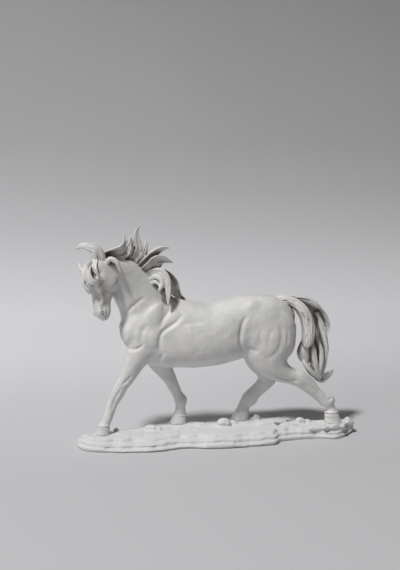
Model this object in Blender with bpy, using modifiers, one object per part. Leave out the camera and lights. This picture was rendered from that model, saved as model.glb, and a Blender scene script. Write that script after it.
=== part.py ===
"""Cast horse figurine on its rocky ground: two solids, `horse` and `base`, in metres, +Z up.

The horse faces -X, its near side faces -Y, and the origin lies on the flat underside.
The figure is modelled in points, of which there are 140 from sole to withers, so that its pose and
carving scale with its height. The ground's own sizes are given in metres.
"""

import math

import bmesh
import bpy
import numpy as np
from mathutils import Matrix, Vector, noise

WITHERS_HEIGHT = 0.140
BASE_THICKNESS = 0.012
TOUCH_GAP = 0.0003

POINTS_TO_WITHERS = 140.0
POINT = WITHERS_HEIGHT / POINTS_TO_WITHERS

FORM_VOXEL = 1.0
DETAIL_VOXEL = 0.85
HORSE_TRIANGLES = 7600
BASE_TRIANGLES = 2000

# Trunk, from the breast to the buttock: x, top, bottom, half width, narrowing above, squareness.
TRUNK = (
    (-98.0, 119.0, 95.0, 11.0, 0.00, 2.0),
    (-92.0, 129.0, 86.0, 17.5, 0.00, 2.1),
    (-82.0, 136.0, 77.5, 20.5, 0.05, 2.2),
    (-68.0, 141.0, 70.0, 22.0, 0.20, 2.2),
    (-52.0, 142.0, 66.5, 23.0, 0.28, 2.2),
    (-36.0, 139.5, 65.5, 25.0, 0.20, 2.2),
    (-20.0, 135.5, 65.0, 27.0, 0.10, 2.2),
    (-4.0, 134.0, 66.5, 28.0, 0.06, 2.2),
    (12.0, 137.0, 70.0, 28.0, 0.03, 2.2),
    (26.0, 140.5, 73.5, 26.5, 0.00, 2.2),
    (40.0, 142.5, 78.0, 25.5, -0.05, 2.2),
    (53.0, 142.5, 82.0, 26.5, -0.05, 2.2),
    (65.0, 140.0, 85.0, 25.0, 0.00, 2.1),
    (74.0, 134.0, 87.0, 19.5, 0.00, 2.0),
    (80.0, 122.0, 92.0, 12.0, 0.00, 2.0),
)

# Neck, from the chest to the poll: x, y, z, half width, half depth.
NECK = (
    (-66.0, 0.0, 116.0, 17.0, 31.0),
    (-73.0, 0.0, 128.0, 15.5, 30.0),
    (-80.5, -1.5, 142.0, 13.5, 26.5),
    (-88.5, -3.5, 153.5, 12.0, 24.0),
    (-96.5, -6.0, 163.5, 11.0, 21.0),
    (-104.0, -9.0, 172.0, 10.5, 17.0),
    (-111.0, -11.5, 178.0, 10.0, 12.0),
)

# Legs, from inside the trunk to the coronet: x, y, z, half width, half depth.
NEAR_FORE = (
    (-74.0, -11.0, 104.0, 12.5, 23.0),
    (-79.0, -12.0, 92.0, 11.5, 18.5),
    (-85.0, -13.0, 82.0, 9.8, 13.2),
    (-89.5, -13.3, 73.5, 8.6, 10.6),
    (-93.3, -13.4, 65.5, 7.4, 9.0),
    (-97.5, -13.5, 58.0, 6.3, 7.6),
    (-102.0, -13.5, 52.0, 6.0, 7.1),
    (-105.2, -13.5, 46.0, 6.3, 6.9),
    (-108.5, -13.5, 39.5, 5.6, 6.5),
    (-111.5, -13.6, 33.7, 4.7, 5.9),
    (-114.2, -13.7, 27.5, 4.2, 5.3),
    (-116.2, -13.8, 21.0, 4.2, 5.0),
    (-117.8, -13.9, 16.5, 4.9, 5.0),
    (-119.5, -14.0, 12.5, 4.6, 4.8),
    (-121.5, -14.0, 8.5, 5.4, 5.8),
)
FAR_FORE = (
    (-70.0, 11.0, 98.0, 12.0, 20.0),
    (-65.0, 12.0, 84.0, 11.0, 17.0),
    (-58.0, 12.0, 67.5, 9.0, 12.3),
    (-51.8, 12.0, 56.0, 7.0, 8.6),
    (-48.2, 11.8, 50.0, 6.2, 7.1),
    (-46.0, 11.6, 45.0, 6.2, 6.6),
    (-43.0, 11.5, 38.5, 5.3, 6.0),
    (-39.8, 11.4, 31.5, 4.6, 5.7),
    (-36.2, 11.3, 25.0, 5.4, 7.2),
    (-36.9, 11.2, 18.5, 4.8, 5.3),
    (-37.0, 11.1, 13.0, 5.2, 5.9),
    (-37.6, 11.0, 8.5, 6.2, 6.8),
)
NEAR_HIND = (
    (57.0, -12.0, 112.0, 14.5, 29.5),
    (56.5, -13.0, 100.0, 15.5, 30.0),
    (56.5, -14.0, 84.0, 14.0, 27.0),
    (60.0, -14.0, 71.0, 12.0, 20.5),
    (66.0, -14.0, 62.7, 10.0, 14.5),
    (73.5, -14.0, 57.3, 8.0, 10.8),
    (82.5, -14.0, 53.3, 6.6, 8.8),
    (92.5, -14.0, 49.5, 6.6, 9.6),
    (101.0, -14.0, 42.5, 5.8, 8.4),
    (110.0, -14.0, 33.8, 5.0, 6.4),
    (117.5, -14.0, 27.0, 5.2, 6.6),
    (124.0, -14.0, 22.5, 6.3, 7.8),
    (126.3, -14.0, 16.0, 5.2, 5.8),
    (128.0, -14.0, 10.0, 6.8, 7.2),
)
FAR_HIND = (
    (56.0, 12.0, 112.0, 14.5, 28.0),
    (54.0, 13.0, 98.0, 15.0, 27.0),
    (52.5, 13.5, 80.0, 13.0, 22.0),
    (54.0, 13.5, 66.0, 10.5, 16.0),
    (59.0, 13.0, 57.0, 8.0, 12.6),
    (63.0, 13.0, 49.0, 6.8, 11.4),
    (58.0, 12.8, 40.0, 5.8, 9.0),
    (52.0, 12.6, 34.2, 5.2, 7.8),
    (46.5, 12.5, 29.3, 5.2, 7.8),
    (41.0, 12.5, 22.5, 6.0, 8.6),
    (36.0, 12.4, 16.3, 5.2, 6.6),
    (33.4, 12.3, 9.5, 6.6, 7.4),
)

# Hooves: coronet x, y, z, half width, half depth, then the sole's x, y, half width, half depth.
HOOVES = (
    (-121.8, -14.0, 9.6, 5.9, 6.2, -123.0, -14.0, 7.0, 7.2),
    (-37.5, 11.0, 8.6, 6.2, 6.9, -39.5, 11.0, 7.6, 9.3),
    (128.0, -14.0, 10.8, 6.8, 7.3, 130.0, -14.0, 8.2, 9.0),
    (33.0, 12.3, 9.4, 6.6, 7.6, 30.6, 12.3, 7.8, 9.7),
)

# Muscles laid over the lofts: x, y, z, radii along, across and up, then the tilt in the side view.
# Each one is made on both sides, y counting from the mid-plane.
MUSCLES = (
    (-73.0, 13.5, 113.0, 12.5, 8.6, 27.0, 24.0),
    (-70.0, 15.0, 99.0, 12.0, 9.5, 15.0, -30.0),
    (-92.0, 9.0, 105.0, 9.5, 11.0, 14.0, 0.0),
    (-84.0, 13.0, 92.0, 11.0, 9.0, 10.0, 20.0),
    (42.0, 17.0, 100.0, 15.0, 10.5, 20.0, 8.0),
    (64.0, 14.5, 108.0, 22.0, 12.0, 25.0, 10.0),
    (70.0, 13.0, 95.0, 16.0, 12.5, 22.0, 6.0),
    (36.0, 17.0, 128.0, 13.0, 7.0, 10.0, -20.0),
)

# Head: poll and muzzle, how far it turns to the near side, and its sections down the face:
# distance from the poll, half width, forehead and jaw counted from the axis.
POLL = (-128.0, -15.0, 184.0)
MUZZLE = (-121.2, -26.5, 127.0)
HEAD_TURN = math.radians(30.0)
HEAD = (
    (-2.0, 8.0, 1.0, -16.0),
    (4.0, 10.5, 7.0, -20.0),
    (12.0, 11.5, 10.5, -21.0),
    (20.0, 11.5, 11.5, -20.0),
    (27.0, 10.0, 10.8, -19.0),
    (34.0, 8.4, 9.6, -15.5),
    (41.0, 7.4, 8.8, -11.2),
    (48.0, 7.2, 8.4, -9.4),
    (53.5, 7.3, 7.6, -8.6),
    (57.5, 6.2, 5.6, -7.2),
    (59.5, 4.6, 3.4, -5.4),
)
# Rounded masses of the head: down the face, out, sideways, then radii down, out and across.
# Each one is made on both sides.
FACE = (
    (24.5, 6.4, 9.4, 9.0, 4.8, 4.6),
    (23.0, 7.2, 12.0, 2.8, 2.6, 2.0),
    (21.0, -10.0, 6.8, 11.0, 10.0, 5.0),
    (35.0, 2.0, 6.0, 12.0, 2.4, 3.0),
    (52.5, 4.6, 5.2, 4.4, 3.4, 3.0),
    (56.5, -4.2, 1.4, 3.4, 3.2, 3.4),
)
# Hollows pressed into the head: down the face, out, sideways, reach and depth.
PITS = (
    (54.0, 5.4, 8.0, 1.7, 2.6),
    (14.0, 4.0, 11.5, 4.0, 1.6),
    (30.0, 7.4, 9.0, 3.8, 1.3),
    (45.0, -2.0, 7.6, 5.0, 1.0),
)

# Locks of hair: thickness, tilt of the broad side, turn along the lock, hollowing (below zero opens it to
# the near side), then its run as x, y, z and half width.
MANE = (
    (
        2.6, 0, 10, 0.0,
        (
            (-118, -9, 182, 3.8), (-117, -12, 192, 3.8), (-111, -14, 197, 3.5), (-103, -15, 198, 3.3),
            (-97, -14, 202, 2.8), (-93, -12, 207, 2.0), (-95, -9, 212, 0.7),
        ),
    ),
    (
        2.0, 40, 20, -0.4,
        (
            (-110, -8, 182, 5.5), (-104, -9, 190, 6.5), (-96, -9, 196, 6.0), (-91, -9, 203, 3.8),
            (-90, -8, 208, 2.2), (-92, -7, 212, 0.7),
        ),
    ),
    (
        2.0, 35, 20, -0.4,
        (
            (-100, -7, 177, 6.5), (-93, -9, 188, 7.1), (-87, -9, 197, 4.9), (-85, -8, 205, 2.6),
            (-87, -7, 210, 0.9),
        ),
    ),
    (
        2.4, 15, 30, -0.3,
        (
            (-87, -6, 178, 5.5), (-82, -8, 190, 3.9), (-84, -8, 201, 3.1), (-85, -7, 210, 2.4),
            (-83, -6, 215, 1.7), (-79, -5, 218, 0.7),
        ),
    ),
    (
        2.6, 0, 20, 0.0,
        (
            (-110, -10, 182, 3.3), (-102, -13, 182, 3.8), (-92, -14, 179, 3.8), (-84, -12, 180, 3.3),
            (-80, -9, 185, 1.3),
        ),
    ),
    (
        2.2, 0, 20, -0.2,
        (
            (-80, -5, 177, 4.4), (-78, -7, 185, 4.4), (-74, -6, 193, 3.3), (-72, -5, 199, 2.0),
            (-73, -4, 203, 0.7),
        ),
    ),
    (
        2.6, 20, 30, -0.2,
        (
            (-82, -7, 177, 3.3), (-73, -9, 184, 4.1), (-65, -10, 192, 3.9), (-56, -9, 196, 2.8),
            (-50, -7, 195, 0.9),
        ),
    ),
    (
        2.4, 40, 30, -0.3,
        (
            (-80, -8, 175, 3.3), (-71, -11, 179, 4.9), (-64, -13, 185, 6.0), (-58, -12, 186, 4.6),
            (-51, -9, 183, 2.6), (-45, -7, 180, 0.7),
        ),
    ),
    (
        3.0, 0, 20, 0.0,
        (
            (-77, -7, 169, 3.3), (-69, -10, 173, 3.8), (-62, -11, 179, 3.8), (-58, -10, 182, 2.2),
        ),
    ),
    (
        2.6, 30, 30, -0.4,
        (
            (-75, -6, 165, 3.3), (-63, -10, 171, 3.5), (-54, -9, 169, 4.9), (-48, -6, 160, 6.5),
            (-44, -3, 150, 6.0), (-38, -1, 142, 2.7), (-32, 0, 139, 0.7),
        ),
    ),
    (
        2.2, 0, 20, 0.0,
        (
            (-61, -10, 171, 3.3), (-53, -16, 165, 3.3), (-52, -17.5, 156, 3.1), (-53, -18, 146, 2.4),
            (-52, -19, 136, 0.7),
        ),
    ),
    (
        1.8, 0, 20, 0.0,
        (
            (-71, -8, 163, 2.2), (-63, -13, 167, 2.6), (-58, -15, 164, 2.6), (-57, -16, 158, 2.2),
            (-61, -16, 152, 1.7), (-61, -15.5, 148, 0.7),
        ),
    ),
    (
        1.8, 0, 20, 0.0,
        (
            (-71, -9, 160, 1.7), (-63, -13.5, 162, 2.2), (-60, -15, 159, 1.7), (-62, -15, 154, 0.7),
        ),
    ),
)
FORELOCK = (
    (
        4.2, 0, 20, 0.1,
        (
            (-123, -16, 175, 5.5), (-124, -20, 187, 7.1), (-128, -21, 196, 6.0), (-135, -20, 199, 3.9),
            (-142, -18, 199, 2.8), (-147, -16, 196, 0.9),
        ),
    ),
    (
        2.2, 0, 20, 0.0,
        (
            (-130, -21, 186, 3.3), (-138, -27, 181, 3.3), (-140, -32, 174, 3.1), (-138, -34, 167, 2.8),
            (-133, -35, 163, 2.6), (-127, -35, 162, 2.0), (-123, -34, 165, 0.7),
        ),
    ),
    (
        2.4, 0, 20, 0.0,
        (
            (-129, -22, 187, 3.8), (-131, -30, 179, 4.1), (-127, -34, 172, 2.8), (-122, -34, 167, 0.9),
        ),
    ),
    (
        2.2, 0, 20, 0.0,
        (
            (-131, -17, 179, 3.3), (-139, -17, 173, 3.3), (-142, -15, 176, 2.4), (-145, -13, 182, 0.7),
        ),
    ),
    (
        2.0, 0, 20, 0.0,
        (
            (-139, -31, 170, 2.2), (-140, -32, 162, 2.2), (-136, -33, 157, 1.7), (-132, -32, 153, 0.7),
        ),
    ),
)
TAIL = (
    (
        4.4, 0, 30, 0.1,
        (
            (58, 0, 133, 5.0), (76, -2, 134.5, 5.6), (88, -4, 131, 6.6), (97, -6, 124, 7.4),
            (101, -8, 114, 7.8), (101, -9, 101, 7.6), (97, -10, 89, 7.2), (95, -9, 79, 6.3),
            (98, -7, 69, 3.5), (103, -6, 61, 1.1),
        ),
    ),
    (
        4.4, 0, 10, 0.1,
        (
            (61, 2, 135, 4.4), (78, 3, 135, 5.0), (92, 3, 134.5, 5.7), (103, 3, 132, 5.2),
            (112, 3, 128, 3.9), (119, 2, 125, 0.9),
        ),
    ),
    (
        3.2, 0, 30, -0.2,
        (
            (99, 4, 133, 4.4), (114, 6, 126, 5.5), (123, 6, 116, 5.5), (128, 5, 103, 3.5),
            (130, 4, 97, 0.9),
        ),
    ),
    (
        2.6, 0, 10, 0.0,
        (
            (99, 2, 127, 5.5), (110, 2, 117, 7.5), (113, 2, 101, 8.2), (114, 1, 84, 8.2),
            (114, -1, 69, 7.6), (114, -2, 56, 6.0), (119, -2, 45, 3.0),
        ),
    ),
    (
        2.0, 0, 30, 0.0,
        (
            (105, -3, 120, 2.2), (114, -4, 100, 2.4), (119, -4, 85, 2.6), (119, -5, 73, 2.8),
            (117, -5, 62, 2.6), (119, -4, 49, 1.7),
        ),
    ),
    (
        2.2, 0, 30, 0.0,
        (
            (114, 2, 118, 2.7), (124, 2, 98, 2.7), (124, 1, 86, 2.7), (126, 0, 75, 2.8),
            (124, 0, 64, 2.6), (121, 0, 53, 2.4), (125, 0, 44, 2.8), (132, 0, 46, 1.7),
            (134, 0, 54, 0.9),
        ),
    ),
    (
        2.8, 0, 30, 0.0,
        (
            (101, -6, 83, 3.3), (107, -8, 74, 3.8), (108, -8, 63, 3.5), (109, -8, 53, 2.8),
            (117, -6, 43, 1.7), (125, -4, 43, 0.9),
        ),
    ),
    (
        2.0, 0, 30, 0.0,
        (
            (93, -8, 75, 1.7), (97, -9.5, 64, 2.2), (103, -10.5, 57, 2.2), (110, -10, 49, 2.0),
            (119, -7, 42, 1.1),
        ),
    ),
)

# Furrows in the side view: which side (-1 near, 1 far, 0 both), depth, width, then x and z along it.
FURROWS = (
    (0, 2.0, 1.8, ((-99, 124), (-93, 132), (-86, 139), (-77, 145))),
    (0, 2.2, 2.4, ((-49, 134), (-54, 127), (-59, 121), (-62, 113))),
    (0, 2.6, 2.6, ((-38, 126), (-46, 118), (-54, 113), (-61, 107), (-63, 100), (-63, 93), (-61, 86))),
    (0, 2.4, 3.2, ((-74, 117), (-80, 111), (-82, 104), (-84, 96))),
    (0, 1.8, 1.8, ((-98, 91), (-90, 91), (-83, 94), (-79, 98))),
    (0, 1.0, 2.2, ((-42, 114), (-32, 117), (-21, 118), (-12, 119))),
    (0, 2.6, 2.8, ((30, 124), (25, 117), (23, 109), (22, 101), (23, 93), (28, 84))),
    (0, 2.0, 2.6, ((66, 116), (67, 104), (66, 94), (63, 86), (57, 80), (49, 76))),
    (0, 1.3, 2.4, ((57, 110), (53, 101), (51, 91))),
    (0, 1.4, 2.4, ((30, 89), (36, 87), (41, 83))),
    (-1, 1.6, 2.0, ((62, 57), (74, 52), (88, 49))),
    (-1, 1.2, 1.8, ((78, 62), (90, 57))),
    (-1, 1.4, 1.8, ((-92, 64), (-98, 57), (-104, 52))),
    (-1, 1.2, 1.6, ((-103, 50), (-108, 42), (-112, 33), (-114, 26))),
    (0, 1.8, 2.6, ((-58, 88), (-63, 80), (-68, 74))),
)

# The near ear, laid back: x, y, z, half width. The far one mirrors it across the head.
EAR = (
    (-116.0, -20.0, 181.0, 3.6),
    (-111.5, -24.5, 186.0, 4.2),
    (-106.5, -26.5, 184.0, 3.6),
    (-103.5, -26.0, 178.0, 2.4),
    (-101.0, -24.0, 172.5, 0.8),
)
EAR_THICKNESS = 2.3

# The ground's edge at its foot, as x and y in metres round from the left tip along the near side.
GROUND_EDGE = (
    (-0.151, -0.017), (-0.147, -0.026), (-0.137, -0.034), (-0.122, -0.040), (-0.104, -0.044),
    (-0.084, -0.046), (-0.064, -0.0455), (-0.048, -0.0425), (-0.038, -0.0415), (-0.027, -0.0425),
    (-0.012, -0.0465), (0.010, -0.048), (0.030, -0.0478), (0.046, -0.0462), (0.059, -0.043),
    (0.0635, -0.037), (0.072, -0.0345), (0.090, -0.0335), (0.108, -0.034), (0.123, -0.0375),
    (0.134, -0.0345), (0.143, -0.027), (0.153, -0.015), (0.154, -0.008), (0.147, -0.002),
    (0.134, 0.000), (0.119, 0.001), (0.103, 0.004), (0.087, 0.010), (0.071, 0.015),
    (0.055, 0.019), (0.040, 0.0225), (0.024, 0.0235), (0.008, 0.020), (-0.008, 0.018),
    (-0.022, 0.020), (-0.037, 0.0225), (-0.051, 0.021), (-0.064, 0.015), (-0.078, 0.008),
    (-0.092, 0.001), (-0.106, -0.003), (-0.120, -0.004), (-0.134, -0.006), (-0.145, -0.010),
)
# Its beds, from the foot up: height as a share of the thickness, how far the near edge and the far
# edge step in, and how ragged the edge is.
BEDS = (
    (-0.25, 0.0006, 0.0006, 0.2),
    (0.00, 0.0004, 0.0004, 0.3),
    (0.08, 0.0000, 0.0000, 0.5),
    (0.29, 0.0002, 0.0002, 0.6),
    (0.35, 0.0022, 0.0006, 0.8),
    (0.39, 0.0052, 0.0008, 1.0),
    (0.60, 0.0058, 0.0008, 1.2),
    (0.66, 0.0082, 0.0014, 1.2),
    (0.71, 0.0120, 0.0020, 1.4),
    (0.86, 0.0135, 0.0026, 1.2),
    (0.96, 0.0165, 0.0040, 0.8),
    (1.00, 0.0205, 0.0070, 0.4),
)
GROUND_SPINE = -0.010
RAGGED_EDGE = 0.0015
GROUND_VOXEL = 0.0010
PAD_RADIUS = 0.0125
SURFACE_DROP = 0.0009
# Stones and ledges on it: x, y, z of the middle, half length, half width, half height, turn in degrees.
STONES = (
    (0.009, -0.004, 0.0150, 0.0078, 0.0058, 0.0050, 15.0),
    (0.020, 0.001, 0.0128, 0.0060, 0.0050, 0.0030, -20.0),
    (0.047, 0.009, 0.0142, 0.0062, 0.0042, 0.0040, -20.0),
    (0.094, -0.008, 0.0140, 0.0056, 0.0045, 0.0042, 10.0),
    (0.101, -0.007, 0.0126, 0.0064, 0.0042, 0.0026, 0.0),
    (-0.071, -0.007, 0.0132, 0.0074, 0.0045, 0.0032, 10.0),
    (-0.063, -0.009, 0.0124, 0.0040, 0.0034, 0.0028, -25.0),
    (-0.109, -0.006, 0.0120, 0.0034, 0.0026, 0.0026, 30.0),
    (0.062, -0.004, 0.0124, 0.0200, 0.0060, 0.0030, 12.0),
    (0.078, 0.003, 0.0124, 0.0170, 0.0050, 0.0030, 4.0),
    (0.082, -0.012, 0.0116, 0.0140, 0.0050, 0.0022, 6.0),
    (0.132, -0.028, 0.0118, 0.0120, 0.0040, 0.0040, 22.0),
    (0.145, -0.016, 0.0120, 0.0080, 0.0070, 0.0050, 60.0),
    (0.112, -0.027, 0.0100, 0.0170, 0.0050, 0.0032, 4.0),
    (-0.020, 0.004, 0.0112, 0.0120, 0.0070, 0.0022, -8.0),
)


def carried(rows, step):
    """Rows of numbers carried smoothly through the given ones, about `step` apart in x, y and z."""
    table = np.asarray(rows, float)
    chords = np.linalg.norm(np.diff(table[:, :3], axis=0), axis=1)
    at = np.concatenate(([0.0], np.cumsum(chords)))
    slope = np.gradient(table, at, axis=0)
    count = max(len(table), int(at[-1] / step) + 1)
    wanted = np.linspace(0.0, at[-1], count)
    low = np.clip(np.searchsorted(at, wanted, side="right") - 1, 0, len(at) - 2)
    gap = (at[low + 1] - at[low])[:, None]
    u = ((wanted - at[low]) / gap[:, 0])[:, None]
    return (
        (2 * u**3 - 3 * u**2 + 1) * table[low]
        + (u**3 - 2 * u**2 + u) * gap * slope[low]
        + (-2 * u**3 + 3 * u**2) * table[low + 1]
        + (u**3 - u**2) * gap * slope[low + 1]
    )


def skin(mesh, rings):
    """Closes a row of equally long rings of points into one body, with a point at each end."""
    made = [[mesh.verts.new(point) for point in ring] for ring in rings]
    around = len(made[0])
    for lower, upper in zip(made, made[1:]):
        for i in range(around):
            k = (i + 1) % around
            mesh.faces.new((lower[i], lower[k], upper[k], upper[i]))
    mesh.faces.new(tuple(reversed(made[0])))
    mesh.faces.new(tuple(made[-1]))


def unit(vector):
    return vector / max(np.linalg.norm(vector), 1e-9)


def loft(mesh, stations, side=(0.0, 1.0, 0.0), step=2.5, around=28, dome=(0.5, 0.5)):
    """A rounded body through stations of x, y, z, half width, half depth, narrowing, squareness."""
    rows = [tuple(s) + (0.0, 2.0)[len(s) - 5 :] if len(s) < 7 else tuple(s) for s in stations]
    rows = carried(rows, step)
    along = np.gradient(rows[:, :3], axis=0)
    rings = []
    for row, ahead in zip(rows, along):
        ahead = unit(ahead)
        across = unit(np.asarray(side) - ahead * np.dot(ahead, side))
        deep = np.cross(ahead, across)
        rings.append((row[:3], across, deep, ahead, row[3], row[4], row[5], row[6]))
    shapes = []
    ends = [(rings[0], -dome[0]), (rings[-1], dome[1])]
    for (centre, across, deep, ahead, half, depth, egg, power), size in ends:
        reach = size * min(half, depth)
        for turn in (60.0, 30.0):
            shift, scale = math.sin(math.radians(turn)), math.cos(math.radians(turn))
            shapes.append((centre + ahead * reach * shift, across, deep, half * scale, depth * scale, egg, power))
    ordered = shapes[:2] + [(c, a, d, h, p, e, n) for c, a, d, _, h, p, e, n in rings] + shapes[:1:-1]
    turns = np.linspace(0.0, math.tau, around, endpoint=False)
    result = []
    for centre, across, deep, half, depth, egg, power in ordered:
        cosine, sine = np.cos(turns), np.sin(turns)
        wide = np.sign(cosine) * np.abs(cosine) ** (2.0 / power) * half * (1.0 - egg * sine)
        tall = np.sign(sine) * np.abs(sine) ** (2.0 / power) * depth
        result.append(centre + wide[:, None] * across + tall[:, None] * deep)
    skin(mesh, result)


def ribbon(mesh, line, thick, tilt=0.0, turn=0.0, hollow=0.0, side=(0.0, 1.0, 0.0), around=18, step=1.8):
    """A lock of hair along x, y, z, half width: flat across `side`, then tilted, turning, hollowed."""
    rows = carried(line, step)
    along = np.gradient(rows[:, :3], axis=0)
    widest = rows[:, 3].max()
    turns = np.linspace(0.0, math.tau, around, endpoint=False)
    rings = []
    for i, (row, ahead) in enumerate(zip(rows, along)):
        ahead = unit(ahead)
        flat = unit(np.asarray(side) - ahead * np.dot(ahead, side))
        broad = np.cross(ahead, flat)
        angle = math.radians(tilt + turn * (i / (len(rows) - 1) - 0.4))
        thin, wide = (
            flat * math.cos(angle) + broad * math.sin(angle),
            broad * math.cos(angle) - flat * math.sin(angle),
        )
        half = max(row[3], 0.6)
        depth = min(thick * math.sqrt(half / widest), half)
        bend = hollow * half * (np.cos(turns) ** 2 - 0.5)
        outline = (np.cos(turns) * half)[:, None] * wide
        outline = outline + (np.sin(turns) * depth + bend)[:, None] * thin
        rings.append(row[:3] + outline)
    skin(mesh, rings)


def ball(mesh, centre, radii, turn=None):
    """An ellipsoid laid into the mesh."""
    place = Matrix.Translation(Vector(centre)) @ (turn or Matrix.Identity(4))
    place = place @ Matrix.Diagonal((radii[0], radii[1], radii[2], 1.0))
    bmesh.ops.create_uvsphere(mesh, u_segments=24, v_segments=14, radius=1.0, matrix=place)


def head_axes():
    """Where the head is set: its poll, then down the face, forward from the forehead, and across."""
    poll = np.array(POLL)
    down = unit(np.array(MUZZLE) - poll)
    ahead = np.array((-math.cos(HEAD_TURN), -math.sin(HEAD_TURN), 0.0))
    ahead = unit(ahead - down * np.dot(down, ahead))
    across = np.cross(ahead, down)
    return poll, down, ahead, across


def on_head(t, out, sideways):
    """A point of the head: down the face, out from the axis, and sideways to the near side."""
    poll, down, ahead, across = head_axes()
    return poll + down * t + ahead * out + across * sideways


def make_trunk(mesh):
    rows = [(x, 0.0, (top + low) / 2, half, (top - low) / 2, egg, n) for x, top, low, half, egg, n in TRUNK]
    loft(mesh, rows, step=3.0, around=40)
    for x, y, z, along, across, up, tilt in MUSCLES:
        for hand in (-1.0, 1.0):
            ball(mesh, (x, y * hand, z), (along, across, up), Matrix.Rotation(math.radians(tilt), 4, "Y"))


def make_head(mesh):
    poll, down, ahead, across = head_axes()
    rows = []
    for t, half, brow, jaw in HEAD:
        centre = poll + down * t + ahead * (brow + jaw) / 2
        rows.append((*centre, half, (brow - jaw) / 2, 0.0, 2.3))
    loft(mesh, rows, side=tuple(across), step=2.0, around=32, dome=(0.9, 0.6))
    turn = Matrix((down, ahead, across)).transposed().to_4x4()
    for t, out, sideways, *radii in FACE:
        for hand in (-1.0, 1.0):
            ball(mesh, on_head(t, out, sideways * hand), radii, turn)


def make_ears(mesh):
    poll, _, _, across = head_axes()
    near = np.array(EAR)
    far = near.copy()
    far[:, :3] -= 2.0 * np.outer((near[:, :3] - poll) @ across, across)
    ribbon(mesh, near, EAR_THICKNESS, hollow=-0.4, side=tuple(across))
    ribbon(mesh, far, EAR_THICKNESS, hollow=0.4, side=tuple(across))


def make_hooves(mesh):
    for x, y, z, half, depth, sole_x, sole_y, sole_half, sole_depth in HOOVES:
        rows = (
            (x, y, z, half, depth, 0.0, 2.2),
            ((x + sole_x) / 2, y, z / 2, (half + sole_half) / 2, (depth + sole_depth) / 2, 0.0, 2.2),
            (sole_x, sole_y, 0.0, sole_half, sole_depth, 0.0, 2.3),
            (2 * sole_x - x, sole_y, -z, sole_half + 0.6, sole_depth + 0.6, 0.0, 2.3),
        )
        loft(mesh, rows, step=2.5, around=28, dome=(0.1, 0.1))


def object_from(mesh, name):
    """A new object holding what the working mesh has."""
    bmesh.ops.recalc_face_normals(mesh, faces=mesh.faces)
    data = bpy.data.meshes.new(name)
    mesh.to_mesh(data)
    mesh.free()
    made = bpy.data.objects.new(name, data)
    bpy.context.scene.collection.objects.link(made)
    return made


def settle(made):
    """Turns the object's modifiers into its own mesh."""
    bpy.context.view_layer.update()
    graph = bpy.context.evaluated_depsgraph_get()
    data = bpy.data.meshes.new_from_object(made.evaluated_get(graph), depsgraph=graph)
    made.modifiers.clear()
    old = made.data
    made.data = data
    bpy.data.meshes.remove(old)


def fuse(made, voxel):
    """Melts overlapping bodies into one skin of even squares."""
    remesh = made.modifiers.new("fuse", "REMESH")
    remesh.mode = "VOXEL"
    remesh.voxel_size = voxel
    settle(made)


def read(made):
    """The mesh's points, its edges and its triangles as arrays."""
    data = made.data
    data.calc_loop_triangles()
    points = np.empty(len(data.vertices) * 3)
    data.vertices.foreach_get("co", points)
    edges = np.empty(len(data.edges) * 2, dtype=np.int32)
    data.edges.foreach_get("vertices", edges)
    faces = np.empty(len(data.loop_triangles) * 3, dtype=np.int32)
    data.loop_triangles.foreach_get("vertices", faces)
    return points.reshape(-1, 3), edges.reshape(-1, 2), faces.reshape(-1, 3)


def write(made, points):
    made.data.vertices.foreach_set("co", points.reshape(-1))
    made.data.update()


def gathered(index, values, count):
    return np.stack([np.bincount(index, values[:, i], count) for i in range(3)], axis=1)


def normals_of(points, faces):
    """The outward direction at each point."""
    a, b, c = (points[faces[:, i]] for i in range(3))
    across = np.cross(b - a, c - a)
    total = sum(gathered(faces[:, i], across, len(points)) for i in range(3))
    return total / np.maximum(np.linalg.norm(total, axis=1), 1e-12)[:, None]


def averaged(points, edges):
    """Each point's neighbours' mean place."""
    count = len(points)
    total = gathered(edges[:, 0], points[edges[:, 1]], count)
    total += gathered(edges[:, 1], points[edges[:, 0]], count)
    links = np.bincount(edges.reshape(-1), minlength=count)
    return total / links[:, None]


def fill_creases(made, rounds, share=0.6):
    """Raises hollows to a fillet and leaves every outward curve as it is."""
    points, edges, faces = read(made)
    normals = normals_of(points, faces)
    for i in range(rounds):
        if i % 4 == 3:
            normals = normals_of(points, faces)
        rise = np.einsum("ij,ij->i", averaged(points, edges) - points, normals)
        points = points + normals * (share * np.maximum(rise, 0.0))[:, None]
    write(made, points)


def relax(made, rounds, share=0.5):
    """Smooths the skin, then lets it out again so that it keeps its size."""
    points, edges, faces = read(made)
    for _ in range(rounds):
        points = points + (averaged(points, edges) - points) * share
        points = points - (averaged(points, edges) - points) * (share * 1.04)
    write(made, points)


def thin_out(made, triangles):
    """Brings the skin down to about this many triangles."""
    count = sum(len(face.vertices) - 2 for face in made.data.polygons)
    decimate = made.modifiers.new("thin", "DECIMATE")
    decimate.decimate_type = "COLLAPSE"
    decimate.use_collapse_triangulate = True
    decimate.ratio = min(1.0, triangles / count)
    settle(made)


def cut_level(made, height):
    """Cuts the body off flat at this height and closes the cut."""
    mesh = bmesh.new()
    mesh.from_mesh(made.data)
    everything = mesh.verts[:] + mesh.edges[:] + mesh.faces[:]
    done = bmesh.ops.bisect_plane(
        mesh, geom=everything, dist=1e-5, plane_co=(0, 0, height), plane_no=(0, 0, 1), clear_inner=True
    )
    rim = [item for item in done["geom_cut"] if isinstance(item, bmesh.types.BMEdge)]
    bmesh.ops.holes_fill(mesh, edges=rim, sides=0)
    mesh.to_mesh(made.data)
    mesh.free()


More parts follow.
